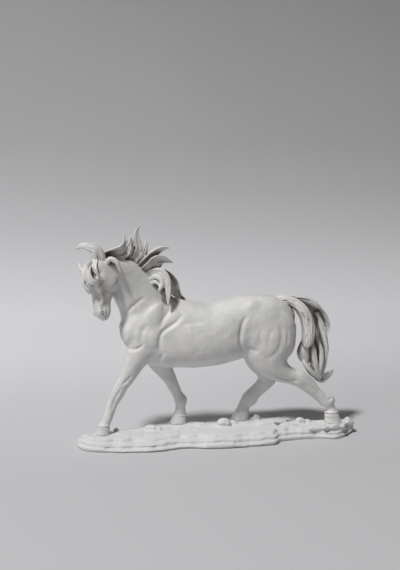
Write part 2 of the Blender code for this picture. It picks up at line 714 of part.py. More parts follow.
def furrow(points, normals, hand, depth, width, line):
    """How far a furrow of the side view lowers each point, on the near side, the far one or both."""
    run = carried([(x, 0.0, z) for x, z in line], 1.5)[:, ::2]
    gap = np.full(len(points), 1e9)
    share = np.zeros(len(points))
    flat = points[:, ::2]
    for i, (a, b) in enumerate(zip(run, run[1:])):
        along = np.clip(((flat - a) @ (b - a)) / max((b - a) @ (b - a), 1e-9), 0.0, 1.0)
        away = np.linalg.norm(flat - a - along[:, None] * (b - a), axis=1)
        nearer = away < gap
        gap = np.where(nearer, away, gap)
        share = np.where(nearer, (i + along) / (len(run) - 1), share)
    ends = np.sqrt(np.clip(np.sin(np.pi * share), 0.0, 1.0))
    facing = np.clip(np.abs(normals[:, 1]) * 1.5, 0.0, 1.0)
    sided = np.ones(len(points)) if hand == 0 else (points[:, 1] * hand > 0).astype(float)
    return depth * np.exp(-((gap / width) ** 2)) * ends * facing * sided


def carve(made):
    """Cuts the furrows between the muscles and the hollows of the face."""
    points, _, faces = read(made)
    normals = normals_of(points, faces)
    lowered = np.zeros(len(points))
    for hand, depth, width, line in FURROWS:
        lowered += furrow(points, normals, hand, depth, width, line)
    for t, out, sideways, reach, depth in PITS:
        for side in (-1.0, 1.0):
            away = np.linalg.norm(points - on_head(t, out, sideways * side), axis=1)
            lowered += depth * np.exp(-((away / reach) ** 2))
    write(made, points - normals * lowered[:, None])


def ragged(x, y, z, scale):
    """Even noise of about one either way."""
    return noise.noise(Vector((x, y, z)) / scale) * 2.0


def make_ground():
    """The rocky slab, in metres, standing on z = 0."""
    edge = carried([(x, y, 0.0) for x, y in GROUND_EDGE + GROUND_EDGE[:1]], 0.0025)[:-1]
    middle = np.clip(edge[:, 0], -0.133, 0.138)
    spine = np.stack([middle, np.full(len(edge), GROUND_SPINE), np.zeros(len(edge))], axis=1)
    spine[:, 1] -= 0.004 * np.clip((np.abs(middle) - 0.06) / 0.07, 0.0, 1.0)
    inward = spine - edge
    reach = np.linalg.norm(inward, axis=1)
    inward = inward / reach[:, None]
    near = np.clip((spine[:, 1] - edge[:, 1]) / 0.012, 0.0, 1.0)
    low_side = 1.0 - 0.45 * np.clip((np.abs(edge[:, 0] + 0.03) - 0.07) / 0.04, 0.0, 1.0)
    rings = []
    for level, (share, near_in, far_in, rough) in enumerate(BEDS):
        step_in = near_in * near * low_side + far_in * (1.0 - near)
        wave = [ragged(x, y, level * 0.0021, 0.011) + 0.6 * ragged(y, x, level, 0.0045) for x, y, _ in edge]
        step_in = step_in + np.array(wave) * RAGGED_EDGE * rough
        step_in = np.clip(step_in, -0.001, reach * 0.8)
        ring = edge + inward * step_in[:, None]
        ring[:, 2] = share * BASE_THICKNESS
        rings.append(ring)
    mesh = bmesh.new()
    skin(mesh, rings)
    for x, y, z, long, wide, high, turn in STONES:
        ball(mesh, (x, y, z), (long, wide, high), Matrix.Rotation(math.radians(turn), 4, "Z"))
    base = object_from(mesh, "base")
    fuse(base, GROUND_VOXEL)
    points, _, faces = read(base)
    normals = normals_of(points, faces)
    drop = np.array([0.5 + 0.5 * ragged(x, y, z, 0.0085) for x, y, z in points])
    drop += np.array([0.35 * ragged(x, y, z, 0.0032) for x, y, z in points])
    points = points - normals * (np.clip(drop, -0.2, 1.4) * SURFACE_DROP)[:, None]
    for *_, sole_x, sole_y, _, _ in HOOVES:
        away = np.hypot(points[:, 0] - sole_x * POINT, points[:, 1] - sole_y * POINT)
        hold = np.clip((PAD_RADIUS * 1.35 - away) / (PAD_RADIUS * 0.35), 0.0, 1.0)
        upper = (points[:, 2] > BASE_THICKNESS * 0.6) & (normals[:, 2] > 0.3)
        points[:, 2] = np.where(upper, points[:, 2] + (BASE_THICKNESS - points[:, 2]) * hold, points[:, 2])
    write(base, points)
    thin_out(base, BASE_TRIANGLES)
    cut_level(base, 0.0)
    return base


def make_horse():
    """The horse's body with its hair, in points, standing on z = 0."""
    mesh = bmesh.new()
    make_trunk(mesh)
    loft(mesh, NECK, step=3.0, around=36, dome=(0.3, 0.8))
    for leg in (NEAR_FORE, FAR_FORE, NEAR_HIND, FAR_HIND):
        loft(mesh, leg, step=2.5, around=28, dome=(0.5, 0.3))
    make_head(mesh)
    horse = object_from(mesh, "horse")
    fuse(horse, FORM_VOXEL)
    fill_creases(horse, 24)
    relax(horse, 4)

    mesh = bmesh.new()
    mesh.from_mesh(horse.data)
    for group in (MANE, FORELOCK, TAIL):
        for thick, tilt, turn, hollow, line in group:
            ribbon(mesh, line, thick, tilt, turn, hollow)
    make_ears(mesh)
    make_hooves(mesh)
    bpy.data.objects.remove(horse)
    horse = object_from(mesh, "horse")
    fuse(horse, DETAIL_VOXEL)
    relax(horse, 2)
    carve(horse)
    return horse


def finish(name, colour, rough):
    """A plain coating of its own for one node."""
    coating = bpy.data.materials.new(name)
    coating.use_nodes = True
    shader = coating.node_tree.nodes["Principled BSDF"]
    shader.inputs["Base Color"].default_value = (*colour, 1.0)
    shader.inputs["Roughness"].default_value = rough
    return coating


def main():
    for old in list(bpy.data.objects):
        bpy.data.objects.remove(old)
    horse = make_horse()
    thin_out(horse, HORSE_TRIANGLES)
    cut_level(horse, 0.0)
    points, _, _ = read(horse)
    points = points * POINT
    points[:, 2] += BASE_THICKNESS + TOUCH_GAP
    write(horse, points)
    base = make_ground()
    group = bpy.data.collections.new("horse_figurine")
    bpy.context.scene.collection.children.link(group)
    for piece, colour in ((horse, (0.78, 0.77, 0.74)), (base, (0.80, 0.79, 0.77))):
        bpy.context.scene.collection.objects.unlink(piece)
        group.objects.link(piece)
        piece.data.materials.clear()
        piece.data.materials.append(finish(piece.name + "_cast", colour, 0.75))


if __name__ == "__main__":
    main()
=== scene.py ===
"""Looks of the cast horse figurine on its rocky ground.

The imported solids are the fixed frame. Two finer meshes stand for them, the horse with its hair and the
ground slab, laid from the same forms at a closer grain, then carved, pitted and dressed as unpainted
casting resin. The horse is modelled in points, 140 from sole to withers, and the ground in metres.
"""

from __future__ import annotations

import logging
import math
from dataclasses import dataclass, field
from enum import Enum

import bmesh
import bpy
import numpy as np
from mathutils import Matrix, Vector, noise
from mathutils.bvhtree import BVHTree

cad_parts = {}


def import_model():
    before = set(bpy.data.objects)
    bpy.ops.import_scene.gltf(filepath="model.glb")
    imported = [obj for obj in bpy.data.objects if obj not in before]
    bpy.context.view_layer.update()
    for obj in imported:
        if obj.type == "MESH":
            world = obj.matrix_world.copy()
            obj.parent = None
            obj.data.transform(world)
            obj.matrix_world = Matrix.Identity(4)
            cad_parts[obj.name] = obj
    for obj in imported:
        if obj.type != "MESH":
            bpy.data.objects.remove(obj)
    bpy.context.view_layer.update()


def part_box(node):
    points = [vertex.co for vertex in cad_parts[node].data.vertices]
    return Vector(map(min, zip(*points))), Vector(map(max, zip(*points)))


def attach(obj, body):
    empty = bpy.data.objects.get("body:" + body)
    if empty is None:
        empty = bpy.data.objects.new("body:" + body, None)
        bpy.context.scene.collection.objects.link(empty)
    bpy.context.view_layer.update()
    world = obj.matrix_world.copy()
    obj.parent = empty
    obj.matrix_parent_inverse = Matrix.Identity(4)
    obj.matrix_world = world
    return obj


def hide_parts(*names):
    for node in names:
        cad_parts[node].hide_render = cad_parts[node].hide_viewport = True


LOG = logging.getLogger("figurine")
GOLDEN_TURN = math.pi * (3.0 - math.sqrt(5.0))
FIGURE_POINTS = 218.0

Row = tuple[float, ...]
Rows = tuple[Row, ...]


class Hand(Enum):
    """Which side of the horse a mark is on."""

    NEAR = -1
    BOTH = 0
    FAR = 1


def unit(vector: np.ndarray) -> np.ndarray:
    """The vector at a length of one."""
    return vector / max(float(np.linalg.norm(vector)), 1e-9)


def carried(rows: Rows | np.ndarray, step: float) -> np.ndarray:
    """Carries rows of numbers smoothly through the given ones.

    Args:
        rows: the given rows, whose first three numbers are a place.
        step: about how far apart the new places are.

    Returns:
        The new rows, the first and last as given.
    """
    table = np.asarray(rows, float)
    chords = np.linalg.norm(np.diff(table[:, :3], axis=0), axis=1)
    at = np.concatenate(([0.0], np.cumsum(chords)))
    slope = np.gradient(table, at, axis=0)
    wanted = np.linspace(0.0, at[-1], max(len(table), int(at[-1] / step) + 1))
    low = np.clip(np.searchsorted(at, wanted, side="right") - 1, 0, len(at) - 2)
    gap = (at[low + 1] - at[low])[:, None]
    u = ((wanted - at[low]) / gap[:, 0])[:, None]
    return (
        (2 * u**3 - 3 * u**2 + 1) * table[low]
        + (u**3 - 2 * u**2 + u) * gap * slope[low]
        + (-2 * u**3 + 3 * u**2) * table[low + 1]
        + (u**3 - u**2) * gap * slope[low + 1]
    )


def swell(points: np.ndarray, size: float, offset: float = 0.0) -> np.ndarray:
    """Even noise of about one either way at each point.

    Args:
        points: places, one a row.
        size: the wavelength, in the points' unit.
        offset: moves the pattern, so that two of them differ.

    Returns:
        One number for each point.
    """
    return np.array([noise.noise(Vector(p) / size + Vector((offset, 0, 0))) for p in points]) * 2.0


class Clay:
    """A working mesh into which overlapping rounded bodies are laid before they are fused."""

    def __init__(self) -> None:
        """Starts with nothing laid."""
        self.mesh = bmesh.new()

    def take(self, made: bpy.types.Object) -> None:
        """Lays a finished object's mesh in, and removes the object."""
        self.mesh.from_mesh(made.data)
        bpy.data.objects.remove(made)

    def skin(self, rings: list[np.ndarray]) -> None:
        """Closes a row of equally long rings of points into one body."""
        made = [[self.mesh.verts.new(point) for point in ring] for ring in rings]
        around = len(made[0])
        for lower, upper in zip(made, made[1:]):
            for i in range(around):
                k = (i + 1) % around
                self.mesh.faces.new((lower[i], lower[k], upper[k], upper[i]))
        self.mesh.faces.new(tuple(reversed(made[0])))
        self.mesh.faces.new(tuple(made[-1]))

    def loft(
        self,
        stations: Rows,
        side: Row = (0.0, 1.0, 0.0),
        step: float = 2.5,
        around: int = 36,
        dome: tuple[float, float] = (0.5, 0.5),
    ) -> None:
        """Lays a rounded body through stations.

        Args:
            stations: x, y, z, half width, half depth, then narrowing and squareness or neither.
            side: the direction of the width.
            step: about how far apart the rings are.
            around: points in a ring.
            dome: how far each end is rounded out, as a share of its lesser half size.
        """
        rows = carried(tuple((*s, 0.0, 2.0) if len(s) < 7 else s for s in stations), step)
        along = np.gradient(rows[:, :3], axis=0)
        turns = np.linspace(0.0, math.tau, around, endpoint=False)
        rings = []
        for i, (row, ahead) in enumerate(zip(rows, along)):
            ahead = unit(ahead)
            across = unit(np.asarray(side) - ahead * np.dot(ahead, side))
            deep = np.cross(ahead, across)
            _, _, _, half, depth, egg, power = row
            shifts = [(0.0, 1.0)]
            if i in (0, len(rows) - 1):
                reach = dome[0] * -1.0 if i == 0 else dome[1]
                swing = [math.radians(turn) for turn in (30.0, 60.0)]
                caps = [(reach * min(half, depth) * math.sin(a), math.cos(a)) for a in swing]
                shifts = caps[::-1] + shifts if i == 0 else shifts + caps
            for shift, scale in shifts:
                cosine, sine = np.cos(turns), np.sin(turns)
                wide = np.sign(cosine) * np.abs(cosine) ** (2.0 / power) * half * scale * (1.0 - egg * sine)
                tall = np.sign(sine) * np.abs(sine) ** (2.0 / power) * depth * scale
                rings.append(row[:3] + ahead * shift + wide[:, None] * across + tall[:, None] * deep)
        self.skin(rings)

    def ball(self, centre: Row | np.ndarray, radii: Row, turn: Matrix | None = None) -> None:
        """Lays an ellipsoid."""
        place = Matrix.Translation(Vector(centre)) @ (turn or Matrix.Identity(4))
        place = place @ Matrix.Diagonal((*radii, 1.0))
        bmesh.ops.create_uvsphere(self.mesh, u_segments=28, v_segments=18, radius=1.0, matrix=place)

    def harden(self, name: str) -> bpy.types.Object:
        """Makes an object of what is laid, its faces outward."""
        bmesh.ops.recalc_face_normals(self.mesh, faces=self.mesh.faces)
        data = bpy.data.meshes.new(name)
        self.mesh.to_mesh(data)
        self.mesh.free()
        made = bpy.data.objects.new(name, data)
        bpy.context.scene.collection.objects.link(made)
        return made


class Cast:
    """A mesh object whose points are worked together as arrays."""

    def __init__(self, made: bpy.types.Object) -> None:
        """Takes the object over."""
        self.made = made

    def settle(self) -> None:
        """Turns the object's modifiers into its own plain mesh."""
        bpy.context.view_layer.update()
        graph = bpy.context.evaluated_depsgraph_get()
        data = bpy.data.meshes.new_from_object(self.made.evaluated_get(graph), depsgraph=graph)
        self.made.modifiers.clear()
        old = self.made.data
        self.made.data = data
        bpy.data.meshes.remove(old)

    def fuse(self, grain: float) -> None:
        """Melts overlapping bodies into one skin of even squares of this size."""
        remesh = self.made.modifiers.new("fuse", "REMESH")
        remesh.mode = "VOXEL"
        remesh.voxel_size = grain
        self.settle()

    def read(self) -> tuple[np.ndarray, np.ndarray, np.ndarray]:
        """The points, the edges and the triangles."""
        data = self.made.data
        data.calc_loop_triangles()
        points = np.empty(len(data.vertices) * 3)
        data.vertices.foreach_get("co", points)
        edges = np.empty(len(data.edges) * 2, dtype=np.int32)
        data.edges.foreach_get("vertices", edges)
        faces = np.empty(len(data.loop_triangles) * 3, dtype=np.int32)
        data.loop_triangles.foreach_get("vertices", faces)
        return points.reshape(-1, 3), edges.reshape(-1, 2), faces.reshape(-1, 3)

    def write(self, points: np.ndarray) -> None:
        """Moves every point to its new place."""
        self.made.data.vertices.foreach_set("co", points.reshape(-1))
        self.made.data.update()

    @staticmethod
    def gathered(index: np.ndarray, values: np.ndarray, count: int) -> np.ndarray:
        """The sum of the values that go to each index."""
        return np.stack([np.bincount(index, values[:, i], count) for i in range(values.shape[1])], axis=1)

    @classmethod
    def normals(cls, points: np.ndarray, faces: np.ndarray) -> np.ndarray:
        """The outward direction at each point."""
        a, b, c = (points[faces[:, i]] for i in range(3))
        across = np.cross(b - a, c - a)
        total = sum(cls.gathered(faces[:, i], across, len(points)) for i in range(3))
        return total / np.maximum(np.linalg.norm(total, axis=1), 1e-12)[:, None]

    @classmethod
    def averaged(cls, values: np.ndarray, edges: np.ndarray) -> np.ndarray:
        """The mean of each point's neighbours' values."""
        count = len(values)
        total = cls.gathered(edges[:, 0], values[edges[:, 1]], count)
        total += cls.gathered(edges[:, 1], values[edges[:, 0]], count)
        return total / np.bincount(edges.reshape(-1), minlength=count)[:, None]

    def fill_creases(self, rounds: int, share: float = 0.6) -> None:
        """Raises hollows to a fillet and leaves every outward curve as it is."""
        points, edges, faces = self.read()
        outward = self.normals(points, faces)
        for i in range(rounds):
            if i % 4 == 3:
                outward = self.normals(points, faces)
            rise = np.einsum("ij,ij->i", self.averaged(points, edges) - points, outward)
            points = points + outward * (share * np.maximum(rise, 0.0))[:, None]
        self.write(points)

    def relax(self, rounds: int, share: float = 0.5, regain: float = 1.04) -> None:
        """Smooths the skin, then lets it out again so that it keeps its size."""
        points, edges, _ = self.read()
        for _ in range(rounds):
            points = points + (self.averaged(points, edges) - points) * share
            points = points - (self.averaged(points, edges) - points) * (share * regain)
        self.write(points)

    def thin_out(self, triangles: int) -> None:
        """Brings the skin down to about this many triangles."""
        count = sum(len(face.vertices) - 2 for face in self.made.data.polygons)
        decimate = self.made.modifiers.new("thin", "DECIMATE")
        decimate.decimate_type = "COLLAPSE"
        decimate.use_collapse_triangulate = True
        decimate.ratio = min(1.0, triangles / count)
        self.settle()

    def cut_level(self, height: float) -> None:
        """Cuts the body off flat at this height and closes the cut."""
        mesh = bmesh.new()
        mesh.from_mesh(self.made.data)
        everything = mesh.verts[:] + mesh.edges[:] + mesh.faces[:]
        done = bmesh.ops.bisect_plane(
            mesh, geom=everything, dist=1e-6, plane_co=(0, 0, height), plane_no=(0, 0, 1), clear_inner=True
        )
        rim = [item for item in done["geom_cut"] if isinstance(item, bmesh.types.BMEdge)]
        bmesh.ops.holes_fill(mesh, edges=rim, sides=0)
        mesh.to_mesh(self.made.data)
        mesh.free()

    def note_hollows(self, reach: float) -> None:
        """Keeps on each point how hollow the skin is there, for the finish to read.

        Args:
            reach: the curve, in metres, at which the note comes to one either way.
        """
        points, edges, faces = self.read()
        outward = self.normals(points, faces)
        length = np.linalg.norm(points[edges[:, 0]] - points[edges[:, 1]], axis=1)
        spacing = self.averaged(np.full((len(points), 1), length.mean()), edges)
        rise = np.einsum("ij,ij->i", self.averaged(points, edges) - points, outward)[:, None] / spacing**2
        for _ in range(4):
            rise = rise + (self.averaged(rise, edges) - rise) * 0.6
        wide = rise.copy()
        for _ in range(24):
            wide = wide + (self.averaged(wide, edges) - wide) * 0.6
        depth = np.clip((rise * 0.5 + wide * 1.2) * reach, -1.0, 1.0)[:, 0]
        self.note("hollow", depth)

    def note(self, name: str, values: np.ndarray) -> None:
        """Keeps one number for each point under a name."""
        layer = self.made.data.attributes.new(name, "FLOAT", "POINT")
        layer.data.foreach_set("value", values.astype(np.float32))

    def note_shelter(self, reach: float, looks: int = 12, fade: float = 0.6, lift: float = 0.012) -> None:
        """Keeps on each point how much of what it faces is closed off by other skin.

        Args:
            reach: how far away skin still shelters a point, in metres.
            looks: in how many directions each point is tried.
            fade: how much less skin counts at the end of the reach than close by.
            lift: how far above the skin each look starts, as a share of the reach.
        """
        points, edges, faces = self.read()
        outward = self.normals(points, faces)
        tree = BVHTree.FromPolygons(points.tolist(), faces.tolist())
        helper = np.where(np.abs(outward[:, 2:]) > 0.9, np.array((1.0, 0.0, 0.0)), np.array((0.0, 0.0, 1.0)))
        first = np.cross(outward, helper)
        first /= np.linalg.norm(first, axis=1)[:, None]
        second = np.cross(outward, first)
        starts = [Vector(p) for p in points + outward * reach * lift]
        closed = np.zeros(len(points))
        for k in range(looks):
            rise = math.sqrt((k + 0.5) / looks)
            angle = k * GOLDEN_TURN
            level = math.sqrt(1.0 - rise**2)
            ways = outward * rise + (first * math.cos(angle) + second * math.sin(angle)) * level
            for i, (start, way) in enumerate(zip(starts, ways.tolist())):
                far = tree.ray_cast(start, way, reach)[3]
                if far is not None:
                    closed[i] += 1.0 - fade * far / reach
        closed = closed[:, None] / looks
        for _ in range(3):
            closed = closed + (self.averaged(closed, edges) - closed) * 0.5
        self.note("sheltered", closed[:, 0])


@dataclass(frozen=True)
class Furrow:
    """A groove pressed along a line of a view: depth, width, and the line's two plane coordinates."""

    depth: float
    width: float
    line: Rows
    hand: Hand = Hand.BOTH

    def lowering(self, points: np.ndarray, outward: np.ndarray) -> np.ndarray:
        """How far the groove lowers each point.

        Args:
            points: places whose first and third numbers are the view's, the second its depth.
            outward: the outward directions in the same order.

        Returns:
            One depth for each point.
        """
        run = carried(tuple((a, 0.0, b) for a, b in self.line), self.width * 0.8)[:, ::2]
        result = np.zeros(len(points))
        reach = self.width * 3.0
        inside = np.all((points[:, ::2] > run.min(0) - reach) & (points[:, ::2] < run.max(0) + reach), axis=1)
        if self.hand is not Hand.BOTH:
            inside &= points[:, 1] * self.hand.value > 0
        flat = points[inside][:, ::2]
        gap = np.full(len(flat), 1e9)
        share = np.zeros(len(flat))
        for i, (a, b) in enumerate(zip(run, run[1:])):
            along = np.clip(((flat - a) @ (b - a)) / max((b - a) @ (b - a), 1e-12), 0.0, 1.0)
            away = np.linalg.norm(flat - a - along[:, None] * (b - a), axis=1)
            nearer = away < gap
            gap = np.where(nearer, away, gap)
            share = np.where(nearer, (i + along) / (len(run) - 1), share)
        ends = np.sqrt(np.clip(np.sin(np.pi * share), 0.0, 1.0))
        facing = np.clip(np.abs(outward[inside, 1]) * 1.5, 0.0, 1.0)
        result[inside] = self.depth * np.exp(-((gap / self.width) ** 2)) * ends * facing
        return result


class Wiring:
    """Adds nodes to a tree and joins them."""

    def __init__(self, tree: bpy.types.NodeTree) -> None:
        """Takes the tree over."""
        self.tree = tree

    def socket(self, name: str, kind: str, output: bool = False, value: float | None = None) -> str:
        """Adds a named input or output to the tree's interface, and returns its identifier."""
        made = self.tree.interface.new_socket(
            name, in_out="OUTPUT" if output else "INPUT", socket_type="NodeSocket" + kind
        )
        if value is not None:
            made.default_value = value
        return made.identifier

    def add(self, kind: str, inputs: dict | None = None, **settings: object) -> bpy.types.Node:
        """Adds a node.

        Args:
            kind: the node's type.
            inputs: its inputs by name or number, each a value or the output it is joined to.
            settings: its other properties.

        Returns:
            The new node.
        """
        node = self.tree.nodes.new(kind)
        for key, value in settings.items():
            setattr(node, key, value)
        for key, value in (inputs or {}).items():
            if isinstance(value, bpy.types.NodeSocket):
                self.tree.links.new(value, node.inputs[key])
            else:
                node.inputs[key].default_value = value
        return node

    def sum(self, operation: str, *values: object, clamp: bool = False) -> bpy.types.NodeSocket:
        """The output of one arithmetic node."""
        inputs = dict(enumerate(values))
        return self.add("ShaderNodeMath", inputs, operation=operation, use_clamp=clamp).outputs[0]

    def blend(self, share: object, first: object, second: object, way: str = "MIX") -> bpy.types.NodeSocket:
        """The output of a node that mixes two colours."""
        inputs = {0: share, 6: first, 7: second}
        return self.add("ShaderNodeMix", inputs, data_type="RGBA", blend_type=way).outputs[2]

    def spread(self, value: object, low: float, high: float) -> bpy.types.NodeSocket:
        """The value eased from this range to nought and one."""
        inputs = {"Value": value, "From Min": low, "From Max": high, "To Min": 0.0, "To Max": 1.0}
        return self.add("ShaderNodeMapRange", inputs, interpolation_type="SMOOTHSTEP").outputs[0]

    def clouds(
        self, where: object, size: float, detail: float = 2.0, rough: float = 0.5
    ) -> bpy.types.NodeSocket:
        """Soft noise of a size in metres, about one half."""
        inputs = {"Vector": where, "Scale": 1.0 / size, "Detail": detail, "Roughness": rough}
        return self.add("ShaderNodeTexNoise", inputs).outputs["Fac"]


@dataclass(frozen=True)
class Trunk:
    """The horse's trunk and neck."""

    # Sections from the breast to the buttock: x, top, bottom, half width, narrowing above, squareness.
    sections: Rows = (
        (-98.0, 119.0, 95.0, 11.0, 0.00, 2.0),
        (-92.0, 129.0, 86.0, 17.5, 0.00, 2.1),
        (-82.0, 136.0, 77.5, 20.5, 0.05, 2.2),
        (-68.0, 141.0, 70.0, 22.0, 0.20, 2.2),
        (-52.0, 142.0, 66.5, 23.0, 0.28, 2.2),
        (-36.0, 139.5, 65.5, 25.0, 0.20, 2.2),
        (-20.0, 135.5, 65.0, 27.0, 0.10, 2.2),
        (-4.0, 134.0, 66.5, 28.0, 0.06, 2.2),
        (12.0, 137.0, 70.0, 28.0, 0.03, 2.2),
        (26.0, 140.5, 73.5, 26.5, 0.00, 2.2),
        (40.0, 142.5, 78.0, 25.5, -0.05, 2.2),
        (53.0, 142.5, 82.0, 26.5, -0.05, 2.2),
        (64.0, 139.5, 85.0, 25.0, 0.00, 2.1),
        (72.0, 132.0, 87.0, 19.5, 0.00, 2.0),
        (78.0, 118.0, 90.0, 12.0, 0.00, 2.0),
    )
    # From the chest to the poll: x, y, z, half width, half depth.
    neck: Rows = (
        (-66.0, 0.0, 116.0, 17.0, 31.0),
        (-73.0, 0.0, 128.0, 15.5, 30.0),
        (-80.5, -1.5, 142.0, 13.5, 26.5),
        (-88.5, -3.5, 153.5, 12.0, 24.0),
        (-96.5, -6.0, 163.5, 11.0, 21.0),
        (-104.0, -9.0, 172.0, 10.5, 17.0),
        (-111.0, -11.5, 178.0, 10.0, 12.0),
    )
    # Muscles on both sides: x, y, z, radii along, across and up, then the tilt in the side view.
    muscles: Rows = (
        (-73.0, 13.0, 113.0, 12.5, 8.0, 27.0, 24.0),
        (-70.0, 15.0, 99.0, 12.0, 9.5, 15.0, -30.0),
        (-92.0, 9.0, 105.0, 9.5, 11.0, 14.0, 0.0),
        (-84.0, 13.0, 92.0, 11.0, 9.0, 10.0, 20.0),
        (42.0, 17.0, 100.0, 15.0, 10.5, 20.0, 8.0),
        (62.5, 14.5, 107.5, 22.0, 12.0, 23.5, 12.0),
        (70.0, 13.0, 93.0, 16.0, 12.5, 22.0, 4.0),
        (36.0, 15.5, 126.5, 15.0, 7.5, 11.5, -20.0),
    )

    def lay(self, clay: Clay) -> None:
        """Lays the trunk, the neck and the muscles."""
        rows = []
        for x, top, low, half, egg, squareness in self.sections:
            rows.append((x, 0.0, (top + low) / 2, half, (top - low) / 2, egg, squareness))
        clay.loft(tuple(rows), step=3.0, around=48)
        clay.loft(self.neck, step=3.0, around=44, dome=(0.3, 0.8))
        for x, y, z, along, across, up, tilt in self.muscles:
            for hand in (-1.0, 1.0):
                clay.ball((x, y * hand, z), (along, across, up), Matrix.Rotation(math.radians(tilt), 4, "Y"))


@dataclass(frozen=True)
class Leg:
    """A leg down to its hoof."""

    # From inside the trunk to the coronet: x, y, z, half width, half depth.
    stations: Rows
    # Coronet x, y, z, half width, half depth, then the sole's x, y, half width, half depth.
    hoof: Row
    # Welts round the pastern and the hoof: share of the way from coronet to sole, and how far out.
    welts: Rows = ((-0.02, 0.35),)

    def lay(self, clay: Clay) -> None:
        """Lays the leg."""
        clay.loft(self.stations, step=2.0, around=36, dome=(0.5, 0.3))

    def lay_hoof(self, clay: Clay) -> None:
        """Lays the hoof, down past the sole, and its welts."""
        x, y, z, half, depth, sole_x, sole_y, sole_half, sole_depth = self.hoof
        clay.loft(
            (
                (x, y, z, half, depth, 0.0, 2.2),
                ((x + sole_x) / 2, y, z / 2, (half + sole_half) / 2, (depth + sole_depth) / 2, 0.0, 2.2),
                (sole_x, sole_y, 0.0, sole_half, sole_depth, 0.0, 2.3),
                (2 * sole_x - x, sole_y, -z, sole_half + 0.6, sole_depth + 0.6, 0.0, 2.3),
            ),
            step=1.5,
            around=36,
            dome=(0.1, 0.1),
        )
        for share, out in self.welts:
            middle = (x + (sole_x - x) * share, y, z * (1.0 - share))
            wide = half + (sole_half - half) * share
            deep = depth + (sole_depth - depth) * share
            rows = []
            for rise, grow in ((1.1, -0.6), (0.5, out), (-0.4, out), (-1.0, -0.6)):
                rows.append((*middle[:2], middle[2] + rise, wide + grow, deep + grow, 0.0, 2.2))
            clay.loft(tuple(rows), step=0.5, around=36, dome=(0.0, 0.0))


